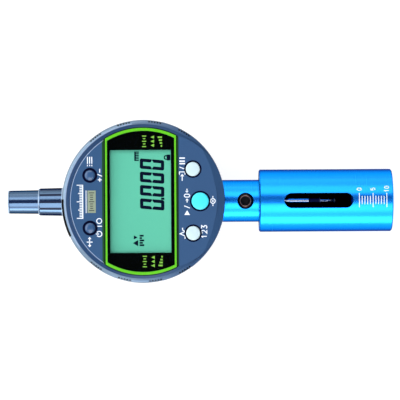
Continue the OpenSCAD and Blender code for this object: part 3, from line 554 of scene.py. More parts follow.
class Drawing:
    """Flat shapes in face coordinates, kept as filled outlines."""

    def __init__(self) -> None:
        """Starts an empty drawing."""
        self.outlines: list[Outline] = []

    def line(self, points: Sequence[Point], width: float, closed: bool = False) -> "Drawing":
        """Adds a line of even width, mitred at its corners.

        Args:
            points: Points that the line runs through.
            width: Its width.
            closed: Whether it runs back to its first point.

        Returns:
            The drawing.
        """
        path = [Vector(p) for p in points]
        count = len(path)
        edges = []
        for i, here in enumerate(path):
            into = (here - path[i - 1]).normalized() if closed or i > 0 else None
            onward = (path[(i + 1) % count] - here).normalized() if closed or i < count - 1 else None
            first, second = into or onward, onward or into
            turn = first + second
            side = Vector((-turn.y, turn.x)) * (width / (1 + first.dot(second)) / 2)
            edges.append((tuple(here + side), tuple(here - side)))
        for i in range(count if closed else count - 1):
            start, end = edges[i], edges[(i + 1) % count]
            self.outlines.append([start[0], start[1], end[1], end[0]])
        return self

    def area(self, points: Sequence[Point]) -> "Drawing":
        """Adds a filled outline, and gives the drawing back."""
        self.outlines.append([tuple(p) for p in points])
        return self

    def disc(self, centre: Point, radius: float) -> "Drawing":
        """Adds a filled circle, and gives the drawing back."""
        return self.area(circle(centre, radius))

    def ring(self, centre: Point, radius: float, width: float) -> "Drawing":
        """Adds a closed round line, and gives the drawing back."""
        return self.line(circle(centre, radius), width, True)

    def wedge(self, base: Point, tip: Point, half: float) -> "Drawing":
        """Adds a triangle, and gives the drawing back.

        Args:
            base: Middle of its base.
            tip: Its tip.
            half: Half the width of its base.

        Returns:
            The drawing.
        """
        way = (Vector(tip) - Vector(base)).normalized() * half
        return self.area([(base[0] - way.y, base[1] + way.x), (base[0] + way.y, base[1] - way.x), tip])

    def box(self, centre: Point, width: float, height: float) -> "Drawing":
        """Adds a filled rectangle, and gives the drawing back."""
        corners = ((-0.5, -0.5), (0.5, -0.5), (0.5, 0.5), (-0.5, 0.5))
        return self.area([(centre[0] + width * u, centre[1] + height * v) for u, v in corners])

    def number(self, digits: str, centre: Point, height: float, width: float) -> "Drawing":
        """Adds plain numbers made of straight strokes.

        Args:
            digits: Digits from 0 to 9 that DIGIT_STROKES holds.
            centre: Middle of the number.
            height: Height of a digit.
            width: Width of a stroke.

        Returns:
            The drawing.
        """
        digit_w, pitch = DIGIT_WIDTH * height, DIGIT_PITCH * height
        left = centre[0] - (pitch * (len(digits) - 1) + digit_w) / 2
        for i, digit in enumerate(digits):
            points, closed = DIGIT_STROKES[digit]
            at = [(left + pitch * i + digit_w * u, centre[1] + height * (v - 0.5)) for u, v in points]
            self.line(at, width, closed)
        return self


# Width and pitch of plain digits, in their height
DIGIT_WIDTH = 0.55
DIGIT_PITCH = 0.9
# Their strokes in a unit box, and whether they close
DIGIT_STROKES: dict[str, tuple[list[Point], bool]] = {
    "0": ([(0.3, 0), (0.7, 0), (1, 0.2), (1, 0.8), (0.7, 1), (0.3, 1), (0, 0.8), (0, 0.2)], True),
    "1": ([(0.15, 0.75), (0.55, 1), (0.55, 0)], False),
    "2": ([(0, 0.8), (0.3, 1), (0.75, 1), (1, 0.75), (0.95, 0.55), (0, 0), (1.05, 0)], False),
    "3": ([(0, 1), (1, 1), (0.5, 0.58), (1, 0.4), (1, 0.2), (0.7, 0), (0.25, 0), (0, 0.15)], False),
    "5": (
        [(0.95, 1), (0.1, 1), (0.05, 0.55), (0.7, 0.6), (1, 0.4), (0.95, 0.15), (0.6, 0), (0, 0.08)], False
    ),
}


def arc(centre: Point, radius: float, start: float, end: float, steps: int) -> Outline:
    """Points along an arc.

    Args:
        centre: Middle of the arc.
        radius: Its radius.
        start: First angle, in degrees.
        end: Last angle, in degrees.
        steps: Number of steps between them.

    Returns:
        The points, one more than the steps.
    """
    turns = [math.radians(start + (end - start) * i / steps) for i in range(steps + 1)]
    return [(centre[0] + radius * math.cos(t), centre[1] + radius * math.sin(t)) for t in turns]


def circle(centre: Point, radius: float, steps: int = 24) -> Outline:
    """Points round a whole circle, the first not repeated."""
    return arc(centre, radius, 0.0, FULL_TURN * (steps - 1) / steps, steps - 1)


def add_piece(name: str, shape: bmesh.types.BMesh, finish: Finish, body: Body, slot: str) -> bpy.types.Object:
    """Turns a finished mesh into a piece that rides on a body.

    Args:
        name: Name of the piece.
        shape: Its mesh in metres, which is freed.
        finish: Its finish.
        body: Body that it rides on.
        slot: The record's material slot; not used.

    Returns:
        The new object.
    """
    mesh = bpy.data.meshes.new(name)
    shape.to_mesh(mesh)
    shape.free()
    mesh.materials.append(finish.material())
    mesh.set_sharp_from_angle(angle=math.radians(SHARP_DEG))
    piece = bpy.data.objects.new(name, mesh)
    bpy.context.scene.collection.objects.link(piece)
    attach(piece, body.value)
    LOG.info("%s: %s, on %s", name, finish.name, body.value)
    return piece


def revolve(
    section: Sequence[Point],
    centre: Point = (0.0, 0.0),
    span_deg: Point = (0.0, FULL_TURN),
    steps: int = 64,
    shape: bmesh.types.BMesh | None = None,
) -> bmesh.types.BMesh:
    """Turns a closed section about an upright axis.

    Args:
        section: Radii and heights, going round the section.
        centre: Where the axis stands, in X and Y.
        span_deg: First and last angle.
        steps: Steps between them.
        shape: Mesh that takes it, or none for a new one.

    Returns:
        The closed, smooth mesh in metres.
    """
    if shape is None:
        shape = bmesh.new()
    start, end = span_deg
    whole = end - start >= FULL_TURN
    count = steps if whole else steps + 1
    rings = []
    for i in range(count):
        turn = math.radians(start + (end - start) * i / steps)
        rings.append([
            shape.verts.new(Vector((centre[0] + r * math.cos(turn), centre[1] + r * math.sin(turn), z)) * MM)
            for r, z in section
        ])
    for i in range(steps):
        here, there = rings[i], rings[(i + 1) % count]
        for k in range(len(section)):
            shape.faces.new([here[k - 1], here[k], there[k], there[k - 1]])
    if not whole:
        shape.faces.new(rings[0])
        shape.faces.new(rings[-1])
    bmesh.ops.remove_doubles(shape, verts=shape.verts, dist=SAME_POINT_MM * MM)
    bmesh.ops.recalc_face_normals(shape, faces=shape.faces)
    for face in shape.faces:
        face.smooth = True
    return shape


def add_prism(shape: bmesh.types.BMesh, lower: Sequence[Vector], upper: Sequence[Vector]) -> None:
    """Adds a closed prism between two outlines of the same number of points.

    Args:
        shape: Mesh that takes it.
        lower: Points of the first end.
        upper: Points of the other end.
    """
    foot = [shape.verts.new(point) for point in lower]
    head = [shape.verts.new(point) for point in upper]
    shape.faces.new(head)
    shape.faces.new(foot[::-1])
    for i, corner in enumerate(head):
        shape.faces.new([corner, head[i - 1], foot[i - 1], foot[i]])


def on_face(height: float) -> Place:
    """Placing of a drawing in face coordinates at a height of the frame, in metres."""
    return lambda u, v, film: Vector((-v * MM, u * MM, height + film * MM))


def print_marks(
    name: str, drawing: Drawing, place: Place, film: float, finish: Finish, body: Body, slot: str
) -> None:
    """Lays a drawing on a surface as a thin film of ink.

    Args:
        name: Name of the piece.
        drawing: The marks.
        place: Turns u, v and a height over the surface into a point in the frame.
        film: Thickness of the film over the surface, which also sinks that far into it.
        finish: Its finish.
        body: Body that it rides on.
        slot: The record's material slot.
    """
    shape = bmesh.new()
    for outline in drawing.outlines:
        add_prism(shape, [place(u, v, -film) for u, v in outline], [place(u, v, film) for u, v in outline])
    bmesh.ops.recalc_face_normals(shape, faces=shape.faces)
    add_piece(name, shape, finish, body, slot)


@dataclass
class Readout:
    """The display's segments: four digits with a point, a unit and two small signs.

    Attributes:
        digit_u: Middles of the digits, from left to right.
        digit_w: Width of a digit.
        digit_top: Height of the digits' top in v.
        digit_foot: Height of their foot in v.
        stroke: Width of a segment.
        corner: Chamfer of a digit's outer corners.
        gap: Half the gap between the upper and the lower segments.
        slant_deg: Lean of the digits.
        film: Thickness of the segments.
        drawing: The segments.
    """

    digit_u: tuple[float, ...] = (-1.1, 3.75, 8.6, 13.4)
    digit_w: float = 3.75
    digit_top: float = 1.25
    digit_foot: float = -7.6
    stroke: float = 1.2
    corner: float = 0.45
    gap: float = 0.1
    slant_deg: float = 5.0
    film: float = 0.02
    drawing: Drawing = field(default_factory=Drawing)

    def build(self) -> None:
        """Draws the readout on the display's front glass."""
        for u in self.digit_u:
            self.zero(u)
        self.point()
        self.unit()
        self.padlock()
        self.step_sign()
        place = on_face(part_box("lcd_panel")[1].z)
        print_marks("readout_segments", self.drawing, place, self.film, LCD_INK, Body.DISPLAY, "ink_lcd")

    def lean(self, points: Sequence[Point], middle: float) -> Outline:
        """Slants a digit's outline about its mid height.

        Args:
            points: Outline in the digit's own box.
            middle: Middle of the digit in u.

        Returns:
            The outline in face coordinates.
        """
        tall = self.digit_top - self.digit_foot
        slope = math.tan(math.radians(self.slant_deg))
        left = middle - self.digit_w / 2
        return [(left + u + (v - tall / 2) * slope, self.digit_foot + v) for u, v in points]

    def zero(self, middle: float) -> None:
        """Adds the six lit segments of a nought.

        Args:
            middle: Middle of the digit in u.
        """
        w, h, t, g, c = self.digit_w, self.digit_top - self.digit_foot, self.stroke, self.gap, self.corner
        mid = h / 2
        cap = [(0, h - c), (c, h), (w - c, h), (w, h - c), (w - t, h - t), (t, h - t)]
        side = [(0, h - c), (0, mid + g), (t / 2, mid + g), (t, mid + t / 2), (t, h - t)]
        mirrored = [(w - u, v) for u, v in side]
        for outline in (cap, side, mirrored):
            self.drawing.area(self.lean(outline, middle))
            self.drawing.area(self.lean([(w - u, h - v) for u, v in outline], middle))

    def point(self) -> None:
        """Adds the decimal point between the first two digits."""
        lean, width = 0.38, 0.8
        u = (self.digit_u[0] + self.digit_u[1]) / 2 - lean
        self.drawing.box((u, self.digit_foot + self.stroke / 2), width, self.stroke)

    def unit(self) -> None:
        """Adds a plain scale sign over the last digit: a bar with six teeth."""
        left, foot, bar, tooth, width, pitch, count = 14.9, 1.6, 0.55, 1.1, 0.4, 0.6, 6
        span = pitch * (count - 1)
        self.drawing.box((left + span / 2, foot + tooth + bar / 2), span + width, bar)
        for i in range(count):
            self.drawing.box((left + pitch * i, foot + tooth / 2), width, tooth)

    def padlock(self) -> None:
        """Adds the lock sign under the last digit."""
        u, v, width, height = 15.9, -9.2, 2.1, 1.4
        half, corner, neck, top, line = 0.6, 0.3, 1.2, 1.5, 0.42
        side = [(half, height / 2), (half, neck), (corner, top)]
        shackle = [(-du, dv) for du, dv in side] + side[::-1]
        self.drawing.box((u, v), width, height).line([(u + du, v + dv) for du, dv in shackle], line)

    def step_sign(self) -> None:
        """Adds a step sign at the left: a wedge up and a wedge down over a row of bars."""
        up, down, foot = -15.15, -13.05, 2.0
        self.drawing.wedge((up, foot), (up, foot + 1.9), 1.15)
        self.drawing.wedge((down, foot + 1.6), (down, foot + 0.2), 0.75)
        left, top, pitch, width = -15.9, 1.5, 0.86, 0.64
        for i, tall in enumerate((1.7, 1.2, 1.7, 0.9, 1.5)):
            self.drawing.box((left + pitch * i, top - tall / 2), width, tall)


@dataclass
class FacePrints:
    """White signs beside the buttons, the plain badge and the marks on the window's mask.

    Attributes:
        stroke: Width of the white lines.
        film: Thickness of the ink.
        badge_v: Middle of the badge.
        badge_w: Its width.
        badge_h: Its height.
        tick_w: Width of the ticks on the badge and on the ruler.
        signs: The white signs.
        ticks: The badge's ticks.
        rows: The mask's marks.
    """

    stroke: float = 0.33
    film: float = 0.012
    badge_v: float = 18.7
    badge_w: float = 8.1
    badge_h: float = 3.0
    tick_w: float = 0.3
    signs: Drawing = field(default_factory=Drawing)
    ticks: Drawing = field(default_factory=Drawing)
    rows: Drawing = field(default_factory=Drawing)

    def build(self) -> None:
        """Prints all signs on the face and on the mask."""
        self.ruler()
        self.grey_signs()
        self.white_signs()
        self.zero_signs()
        self.badge_ticks()
        self.mask_rows()
        badge = Drawing().box((0.0, self.badge_v), self.badge_w, self.badge_h)
        face, mask = (on_face(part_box(node)[1].z) for node in ("front_bezel", "window_mask"))
        for name, drawing, place, film, ink, slot in (
            ("face_signs", self.signs, face, self.film, WHITE_INK, "ink_white"),
            ("face_badge", badge, face, self.film, BADGE_FOIL, "badge_tan"),
            ("badge_ticks", self.ticks, face, 2 * self.film, DARK_INK, "mask_black"),
            ("mask_marks", self.rows, mask, self.film, LIME_INK, "ink_lime"),
        ):
            print_marks(name, drawing, place, film, ink, Body.DISPLAY, slot)

    def ruler(self) -> None:
        """Adds a plain ruler over the badge, and the line between them."""
        signs = self.signs
        foot, length, steps, line_v, line_t = 21.9, 12.0, 20, 20.7, 0.25
        tall, middle, short = 2.0, 1.5, 1.0
        signs.box((0.0, foot), length + self.stroke, self.stroke)
        for i in range(steps + 1):
            rise = short if i % 5 else middle if i % 10 else tall
            signs.box((length * (i / steps - 0.5), foot + (self.stroke + rise) / 2), self.tick_w, rise)
        signs.box((0.0, line_v), self.badge_w, line_t)

    def badge_ticks(self) -> None:
        """Adds the badge's row of ticks, every fourth a tall one."""
        count, pitch, tall, short = 9, 0.8, 1.9, 1.1
        for i in range(count):
            u = pitch * (i - (count - 1) / 2)
            self.ticks.box((u, self.badge_v), self.tick_w, short if i % 4 else tall)

    def grey_signs(self) -> None:
        """Adds the signs of the two grey buttons."""
        signs, s = self.signs, self.stroke
        # Menu: a list of three lines, each after a dot
        dot, line, foot, pitch = 13.1, 15.0, 18.55, 0.78
        for i in range(3):
            signs.box((dot, foot + pitch * i), 0.5, s).box((line, foot + pitch * i), 2.5, s)
        # Count direction: plus and minus, with a stroke between them
        plus, stroke, minus, v, arm = 7.9, 9.55, 11.2, 15.7, 1.4
        signs.box((minus, v), arm, s).box((plus, v), arm, s)
        for way in (1, -1):
            signs.box((plus, v + way * (arm + s) / 4), s, (arm - s) / 2)
        signs.line([(stroke - 0.35, v - 0.8), (stroke + 0.35, v + 0.8)], s)
        # Power: the usual broken ring, then a bar and a ring
        broken, bar, nought, v = -11.7, -8.9, -7.0, 16.0
        signs.line(arc((broken, v), 0.95, 125, 415, 20), s).box((broken, v + 0.65), s, 1.1)
        signs.box((bar, v), s, 2.0).ring((nought, v), 0.9, s)
        # Turning sense: two arrows that part from a middle bar
        mid, v = -14.6, 19.5
        signs.box((mid, v), s, 2.1)
        for way in (-1, 1):
            signs.box((mid + way * 0.75, v), 0.9, s)
            signs.wedge((mid + way * 1.1, v), (mid + way * 1.9, v), 0.65)

    def white_signs(self) -> None:
        """Adds the signs of the two white buttons."""
        signs, s, v, half = self.signs, self.stroke, -14.15, 1.0
        # Hold: an arrow into a tray, a stroke and three bars
        signs.box((8.2, v), 1.7, s).wedge((9.0, v), (9.9, v), 0.7)
        signs.line([(9.6, v + half), (10.6, v + half), (10.6, v - half), (9.6, v - half)], s)
        signs.line([(11.6, v - half), (12.4, v + half)], s)
        for u in (13.6, 14.5, 15.6):
            signs.box((u, v), 0.5, 2 * half)
        # Peak: a rise and a fall
        peak, foot, top = -11.6, v - 0.9, v + 0.9
        path = ((-2.0, foot), (-1.0, foot), (-0.2, top), (0.6, foot), (1.2, v), (2.0, v))
        signs.line([(peak + u, height) for u, height in path], s)
        # Preset: plain numbers
        signs.number("123", (-11.1, -22.0), 1.9, s)

    def zero_signs(self) -> None:
        """Adds the signs of the zero button."""
        signs, s, v, half = self.signs, self.stroke, -15.85, 1.0
        # Start and zero: a play mark, a stroke and a nought between two arrows
        signs.wedge((-5.0, v), (-3.3, v), half)
        signs.line([(-2.5, v - half), (-1.7, v + half)], s)
        signs.number("0", (2.0, v), 1.9, s)
        for way, u in ((1, -0.4), (-1, 4.4)):
            signs.box((u + way * 0.35, v), 0.9, s).wedge((u + way * 0.7, v), (u + way * 1.4, v), 0.6)
        # Absolute: a ring with a dot and two side bars
        v = -25.2
        signs.ring((0.0, v), 0.85, s).disc((0.0, v), 0.3)
        for way in (-1, 1):
            signs.box((way * 1.5, v), 0.6, s)

    def mask_rows(self) -> None:
        """Adds three rows of lime marks beside each end of the display."""
        tick_u, tick_pitch, tick_v, tall, short = 19.9, 0.95, -0.4, 1.5, 0.9
        wedge_u, wedge_pitch, foot, tip = 20.3, 1.5, -4.0, -2.7
        bar_u, bar_pitch, bar_foot, first, growth = 20.1, 1.05, -6.9, 0.5, 0.35
        for way in (-1, 1):
            for i in range(5):
                u = way * (tick_u + tick_pitch * i)
                self.rows.box((u, tick_v), 0.35, short if i % 2 else tall)
            for i in range(3):
                u = way * (wedge_u + wedge_pitch * i)
                self.rows.wedge((u, foot), (u, tip), 0.6)
            for i in range(4):
                u, rise = way * (bar_u + bar_pitch * i), first + growth * i
                self.rows.box((u, bar_foot + rise / 2), 0.6, rise)


@dataclass
class WindowGasket:
    """Painted shadow that frames the window's trim: dark strips and lips at its sides, and a dark line round
    each arc.

    Attributes:
        strips: Middle in v, half length and width of each side's strip.
        lips: Middle in v, half length and width of each side's lip, which laps over the face.
        strip_drop: Depth of the strips' middle under the face.
        lip_drop: Depth of the lips' middle under the face.
        half_t: Half their thickness.
        arc_in: Inner radius of the lines round the arcs.
        arc_out: Outer radius of those lines, on the bevel.
        arc_t: Their thickness.
        arc_drop: Depth of their top under the face.
        arc_fall: How far the top falls away to the bevel.
        arc_steps: Steps along a line.
        arcs_deg: First and last angle of the line round each arc.
    """

    strips: tuple[tuple[float, float, float], ...] = ((13.98, 22.9, 0.46), (-12.22, 23.8, 0.46))
    lips: tuple[tuple[float, float, float], ...] = ((14.54, 22.3, 0.66), (-12.57, 23.4, 0.24))
    strip_drop: float = 0.55
    lip_drop: float = 0.37
    half_t: float = 0.4
    arc_in: float = 26.62
    arc_out: float = 26.98
    arc_t: float = 0.5
    arc_drop: float = 0.02
    arc_fall: float = 0.14
    arc_steps: int = 48
    arcs_deg: tuple[Point, ...] = ((63.4, 121.0), (239.0, 296.6))

    def build(self) -> None:
        """Makes the strips, the lips and the two lines."""
        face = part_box("front_bezel")[1].z
        # Painted shadow beside the trim: dark strips, and paler lips over the face
        for name, rows, drop, finish in (
            ("window_trim_shadow_strips", self.strips, self.strip_drop, TRIM_SHADOW_GREEN),
            ("window_trim_shadow_lips", self.lips, self.lip_drop, TRIM_SHADOW_LIP_GREEN),
        ):
            sides = Drawing()
            for v, half, width in rows:
                sides.box((0.0, v), 2 * half, width)
            place = on_face(face - drop * MM)
            print_marks(name, sides, place, self.half_t, finish, Body.DISPLAY, "rubber_black")
        inner, outer, top = self.arc_in, self.arc_out, face / MM - self.arc_drop
        foot, edge = top - self.arc_t, top - self.arc_fall
        section = [(inner, foot), (outer, foot), (outer, edge), ((inner + outer) / 2, top), (inner, top)]
        for name, span in zip(("right", "left"), self.arcs_deg):
            line = revolve(section, span_deg=span, steps=self.arc_steps)
            add_piece(f"window_trim_shadow_{name}_line", line, TRIM_SHADOW_GREEN, Body.DISPLAY, "rubber_black")


@dataclass
class GripStrips:
    """Black strips in the grip notches of the bezel's rim, as painted shadow, each with a round head on its
    shoulder.

    Attributes:
        groups_deg: Middles of the groups of notches, on both sides of the spindle.
        pitch_deg: Angle between the notches of a group.
        count: Notches in a group.
        head_at: Distance of a head's middle from the turn axis.
        head_r: Radius of a head.
        reach: Distance of a strip's outer side.
        foot: Height of a strip's foot.
        shoulder_r: Radius of the bezel's rounded shoulder.
        proud: Rise of a strip over the shoulder.
    """

    groups_deg: tuple[float, ...] = (59.0, 81.5, 104.0, 126.5)
    pitch_deg: float = 2.02
    count: int = 5
    head_at: float = 29.02
    head_r: float = 0.33
    reach: float = 29.5
    foot: float = 21.6
    shoulder_r: float = 1.15
    proud: float = 0.06

    def build(self) -> None:
        """Makes the strips of all groups as one piece."""
        shape = bmesh.new()
        for side in (-1, 1):
            for group in self.groups_deg:
                for i in range(self.count):
                    self.strip(shape, side * (group + (i - (self.count - 1) / 2) * self.pitch_deg))
        bmesh.ops.recalc_face_normals(shape, faces=shape.faces)
        # Painted shadow in the notches
        add_piece("grip_notch_painted_shadow", shape, RUBBER, Body.DISPLAY, "rubber_black")

    def strip(self, shape: bmesh.types.BMesh, turn_deg: float) -> None:
        """Adds one strip, whose top follows the shoulder.

        Args:
            shape: Mesh that takes it.
            turn_deg: Angle of its notch round the turn axis.
        """
        way = math.radians(turn_deg)
        head = arc((self.head_at, 0.0), self.head_r, 90.0, 270.0, ROUND_STEPS)
        lower, upper = [], []
        for r, w in [(self.reach, self.head_r), *head, (self.reach, -self.head_r)]:
            x, y = r * math.cos(way) - w * math.sin(way), r * math.sin(way) + w * math.cos(way)
            rise = math.sqrt(self.shoulder_r**2 - (math.hypot(r, w) - SHOULDER[0]) ** 2)
            lower.append(Vector((x, y, self.foot)) * MM)
            upper.append(Vector((x, y, SHOULDER[1] + rise + self.proud)) * MM)
        add_prism(shape, lower, upper)


@dataclass
class CapFlutes:
    """Painted shade in the grip flutes of the spindle cap.

    Attributes:
        count: Number of flutes.
        ends: X and the cap's radius at each end of the painted shade.
        paint_r: Radius of the painted shade's round back.
        sink_deg: Angle of the flute's wall that stays bare over the painted shade.
    """

    count: int = 12
    ends: tuple[Point, ...] = ((-38.45, 5.01), (-29.85, 5.176))
    paint_r: float = 0.41
    sink_deg: float = 18.0

    def build(self) -> None:
        """Fills the flutes as one piece."""
        shape = bmesh.new()
        back = (180.0 + self.sink_deg, FULL_TURN - self.sink_deg)
        section = arc((0.0, 0.0), self.paint_r, *back, ROUND_STEPS)
        for i in range(self.count):
            turn = 2 * math.pi * i / self.count
            across = Vector((0.0, math.cos(turn), -math.sin(turn)))
            out = Vector((0.0, math.sin(turn), math.cos(turn)))
            outlines = [
                [(Vector((x, 0.0, SPINDLE_Z)) + across * u + out * (r + h)) * MM for u, h in section]
                for x, r in self.ends
            ]
            add_prism(shape, *outlines)
        bmesh.ops.recalc_face_normals(shape, faces=shape.faces)
        # Painted shade in the flutes
        add_piece("cap_flute_painted_shade", shape, FLUTE_SHADE, Body.CASE, "rubber_black")


@dataclass
class CapRings:
    """Painted highlights on the spindle cap's edges: pale rings at its end, on the chamfer of its step and on
    the flange at its foot.

    Attributes:
        sections: Radius and X of each ring's corners, going round its section.
    """

    sections: tuple[tuple[Point, ...], ...] = (
        ((3.62, -50.2), (4.26, -50.2), (4.27, -49.82), (4.0, -49.82)),
        ((4.5, -39.02), (4.72, -39.02), (4.87, -38.72), (4.6, -38.72)),
        ((4.9, -30.4), (5.2, -30.4), (5.21, -29.7), (4.9, -29.7)),
    )

    def build(self) -> None:
        """Turns the rings about the spindle as one piece."""
        rings = bmesh.new()
        for section in self.sections:
            revolve(section, shape=rings)
        lift = Matrix.Translation((0.0, 0.0, SPINDLE_Z * MM))
        rings.transform(lift @ Matrix.Rotation(math.pi / 2, 4, "Y"))
        # Painted highlights round the cap
        add_piece("cap_painted_highlight_rings", rings, CAP_HIGHLIGHT_NICKEL, Body.CASE, "cap_gloss")


@dataclass
class PortCover:
    """Rubber cover of the data socket: a thin skin on the rim whose lip hooks over the shoulder.

    Attributes:
        middle_deg: Middle of the cover round the turn axis.
        skin_deg: Angle that the skin covers.
        plug_deg: Angle that the plug behind it covers.
        plug_in: Inner radius of the plug.
        plug_z: Heights of the plug's foot and top.
        plug_bite: How far the plug reaches into the skin.
        wall: Inner and outer radius of the skin, from the shoulder's middle.
        lip_deg: How far the lip runs up the shoulder.
        steps: Steps round the rim.
        lip_steps: Steps along the lip.
    """

    middle_deg: float = 191.7
    skin_deg: float = 27.0
    plug_deg: float = 24.0
    plug_in: float = 28.3
    plug_z: Point = (21.85, 24.2)
    plug_bite: float = 0.05
    wall: Point = (1.13, 1.3)
    lip_deg: float = 66.0
    steps: int = 32
    lip_steps: int = 10

    def build(self) -> None:
        """Makes the skin and the plug as one piece in the place of the solid."""
        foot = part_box("data_port_cover")[0].z / MM
        inner, outer = (SHOULDER[0] + r for r in self.wall)
        skin = [
            (inner, foot),
            (outer, foot),
            *arc(SHOULDER, self.wall[1], 0.0, self.lip_deg, self.lip_steps),
            *arc(SHOULDER, self.wall[0], self.lip_deg, 0.0, self.lip_steps),
        ]
        (low, high), bite = self.plug_z, inner + self.plug_bite
        plug = [(self.plug_in, low), (bite, low), (bite, high), (self.plug_in, high)]
        cover = bmesh.new()
        for section, angle in ((skin, self.skin_deg), (plug, self.plug_deg)):
            span = (self.middle_deg - angle / 2, self.middle_deg + angle / 2)
            revolve(section, span_deg=span, steps=self.steps, shape=cover)
        piece = add_piece("data_port_cover_moulding", cover, RUBBER, Body.PORT, "rubber_black")
        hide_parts("data_port_cover")


@dataclass
class SleeveScale:
    """Plain depth scale on the sleeve's far end, wrapped round its curve.

    Attributes:
        start: X of the scale's nought.
        length: Its length along the sleeve, with a line at each millimetre.
        tall: Half the length of every fifth line.
        short: Half the length of the others.
        bends: Bends of a line round the sleeve.
        number_u: Middle of the numbers.
        number_h: Their height.
        stroke: Width of the lines.
        film: Thickness of the ink.
    """

    start: float = 78.6
    length: int = 10
    tall: float = 2.6
    short: float = 1.5
    bends: int = 6
    number_u: float = 4.1
    number_h: float = 1.5
    stroke: float = 0.3
    film: float = 0.012

    def build(self) -> None:
        """Prints the scale."""
        low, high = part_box("gauge_sleeve")
        axis, radius = (low.z + high.z) / 2, (high.z - low.z) / 2

        def place(u: float, v: float, height: float) -> Vector:
            """Wraps a point round the sleeve, with v running back from the scale's nought."""
            out = Matrix.Rotation(-u * MM / radius, 3, "X") @ Vector((0.0, 0.0, radius + height * MM))
            return Vector(((self.start - v) * MM, out.y, axis + out.z))

        marks = Drawing()
        for i in range(self.length + 1):
            half = self.short if i % 5 else self.tall
            marks.line([(half * (2 * k / self.bends - 1), -i) for k in range(self.bends + 1)], self.stroke)
        for i in range(0, self.length + 1, 5):
            marks.number(str(i), (self.number_u, -i), self.number_h, self.stroke)
        print_marks("sleeve_scale", marks, place, self.film, WHITE_INK, Body.CASE, "ink_white")


@dataclass
class PushButton:
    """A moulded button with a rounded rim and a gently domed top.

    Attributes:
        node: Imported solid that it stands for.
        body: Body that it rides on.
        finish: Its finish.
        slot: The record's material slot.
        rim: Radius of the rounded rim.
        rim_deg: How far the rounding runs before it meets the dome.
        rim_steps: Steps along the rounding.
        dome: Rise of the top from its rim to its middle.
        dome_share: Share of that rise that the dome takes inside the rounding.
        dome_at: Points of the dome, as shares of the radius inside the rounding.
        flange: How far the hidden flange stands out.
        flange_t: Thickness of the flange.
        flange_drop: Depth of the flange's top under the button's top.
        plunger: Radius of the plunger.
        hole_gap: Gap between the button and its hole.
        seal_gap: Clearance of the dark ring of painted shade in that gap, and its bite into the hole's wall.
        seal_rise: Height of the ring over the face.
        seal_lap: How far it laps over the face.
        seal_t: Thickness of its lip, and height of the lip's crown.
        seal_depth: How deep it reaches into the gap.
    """

    node: str
    body: Body
    finish: Finish
    slot: str
    rim: float = 0.32
    rim_deg: float = 80.0
    rim_steps: int = 6
    dome: float = 0.12
    dome_share: float = 0.96
    dome_at: tuple[float, ...] = (0.85, 0.65, 0.45, 0.25, 0.08)
    flange: float = 0.7
    flange_t: float = 0.9
    flange_drop: float = 3.05
    plunger: float = 1.2
    hole_gap: float = 0.5
    seal_gap: float = 0.02
    seal_rise: float = 0.03
    seal_lap: float = 0.1
    seal_t: float = 0.05
    seal_depth: float = 0.5

    def build(self) -> None:
        """Revolves the button's profile in the place of its solid, and fills the gap round it with a dark
        ring as painted shade.
        """
        low, high = (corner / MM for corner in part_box(self.node))
        centre = ((low.x + high.x) / 2, (low.y + high.y) / 2)
        radius = (high.x - low.x) / 2 - self.flange
        shape = revolve(self.profile(radius, low.z, high.z), centre)
        piece = add_piece(f"{self.node}_moulding", shape, self.finish, self.body, self.slot)
        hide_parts(self.node)
        inner, hole = radius + self.seal_gap, radius + self.hole_gap + self.seal_gap
        outer, top = hole + self.seal_lap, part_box("front_bezel")[1].z / MM + self.seal_rise
        lip = [
            (inner, top - self.seal_depth),
            (hole, top - self.seal_depth),
            (hole, top - self.seal_t),
            (outer, top - self.seal_t),
            (outer, top),
            ((inner + outer) / 2, top + self.seal_t),
            (inner, top),
        ]
        # Painted shade: a dark ring in the gap round the button
        add_piece(f"{self.node}_seal", revolve(lip, centre), BUTTON_GAP_SHADE, Body.DISPLAY, "rubber_black")

    def profile(self, radius: float, foot: float, top: float) -> list[Point]:
        """Profile from the plunger's foot to the middle of the top.

        Args:
            radius: Radius of the button's face.
            foot: Height of the plunger's foot.
            top: Height of the top's middle.

        Returns:
            Radii and heights.
        """
        flange_top = top - self.flange_drop
        flange_foot = flange_top - self.flange_t
        inner = radius - self.rim
        rounded = arc((inner, top - self.dome - self.rim), self.rim, 0.0, self.rim_deg, self.rim_steps)
        crown = [(inner * k, top - self.dome * k * k * self.dome_share) for k in self.dome_at]
        return [
            (0.0, foot),
            (self.plunger, foot),
            (self.plunger, flange_foot),
            (radius + self.flange, flange_foot),
            (radius + self.flange, flange_top),
            (radius, flange_top),
            *rounded,
            *crown,
            (0.0, top),
        ]


@dataclass
class Bead:
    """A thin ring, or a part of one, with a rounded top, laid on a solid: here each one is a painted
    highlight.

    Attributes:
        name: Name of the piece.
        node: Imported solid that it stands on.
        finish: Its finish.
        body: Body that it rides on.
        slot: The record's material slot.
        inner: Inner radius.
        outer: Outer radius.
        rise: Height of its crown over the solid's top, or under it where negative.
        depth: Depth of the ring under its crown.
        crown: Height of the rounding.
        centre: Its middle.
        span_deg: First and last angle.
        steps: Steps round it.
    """

    name: str
    node: str
    finish: Finish
    body: Body
    slot: str
    inner: float
    outer: float
    rise: float
    depth: float
    crown: float = 0.05
    centre: Point = (0.0, 0.0)
    span_deg: Point = (0.0, FULL_TURN)
    steps: int = 64

    def build(self) -> None:
        """Revolves the ring's section."""
        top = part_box(self.node)[1].z / MM + self.rise
        middle, half, foot = (self.inner + self.outer) / 2, (self.outer - self.inner) / 2, top - self.depth
        rounded = arc((0.0, 0.0), 1.0, 0.0, 180.0, ROUND_STEPS)
        section = [(self.inner, foot), (self.outer, foot)]
        section += [(middle + half * u, top - self.crown + self.crown * v) for u, v in rounded]
        shape = revolve(section, self.centre, self.span_deg, self.steps)
        add_piece(self.name, shape, self.finish, self.body, self.slot)


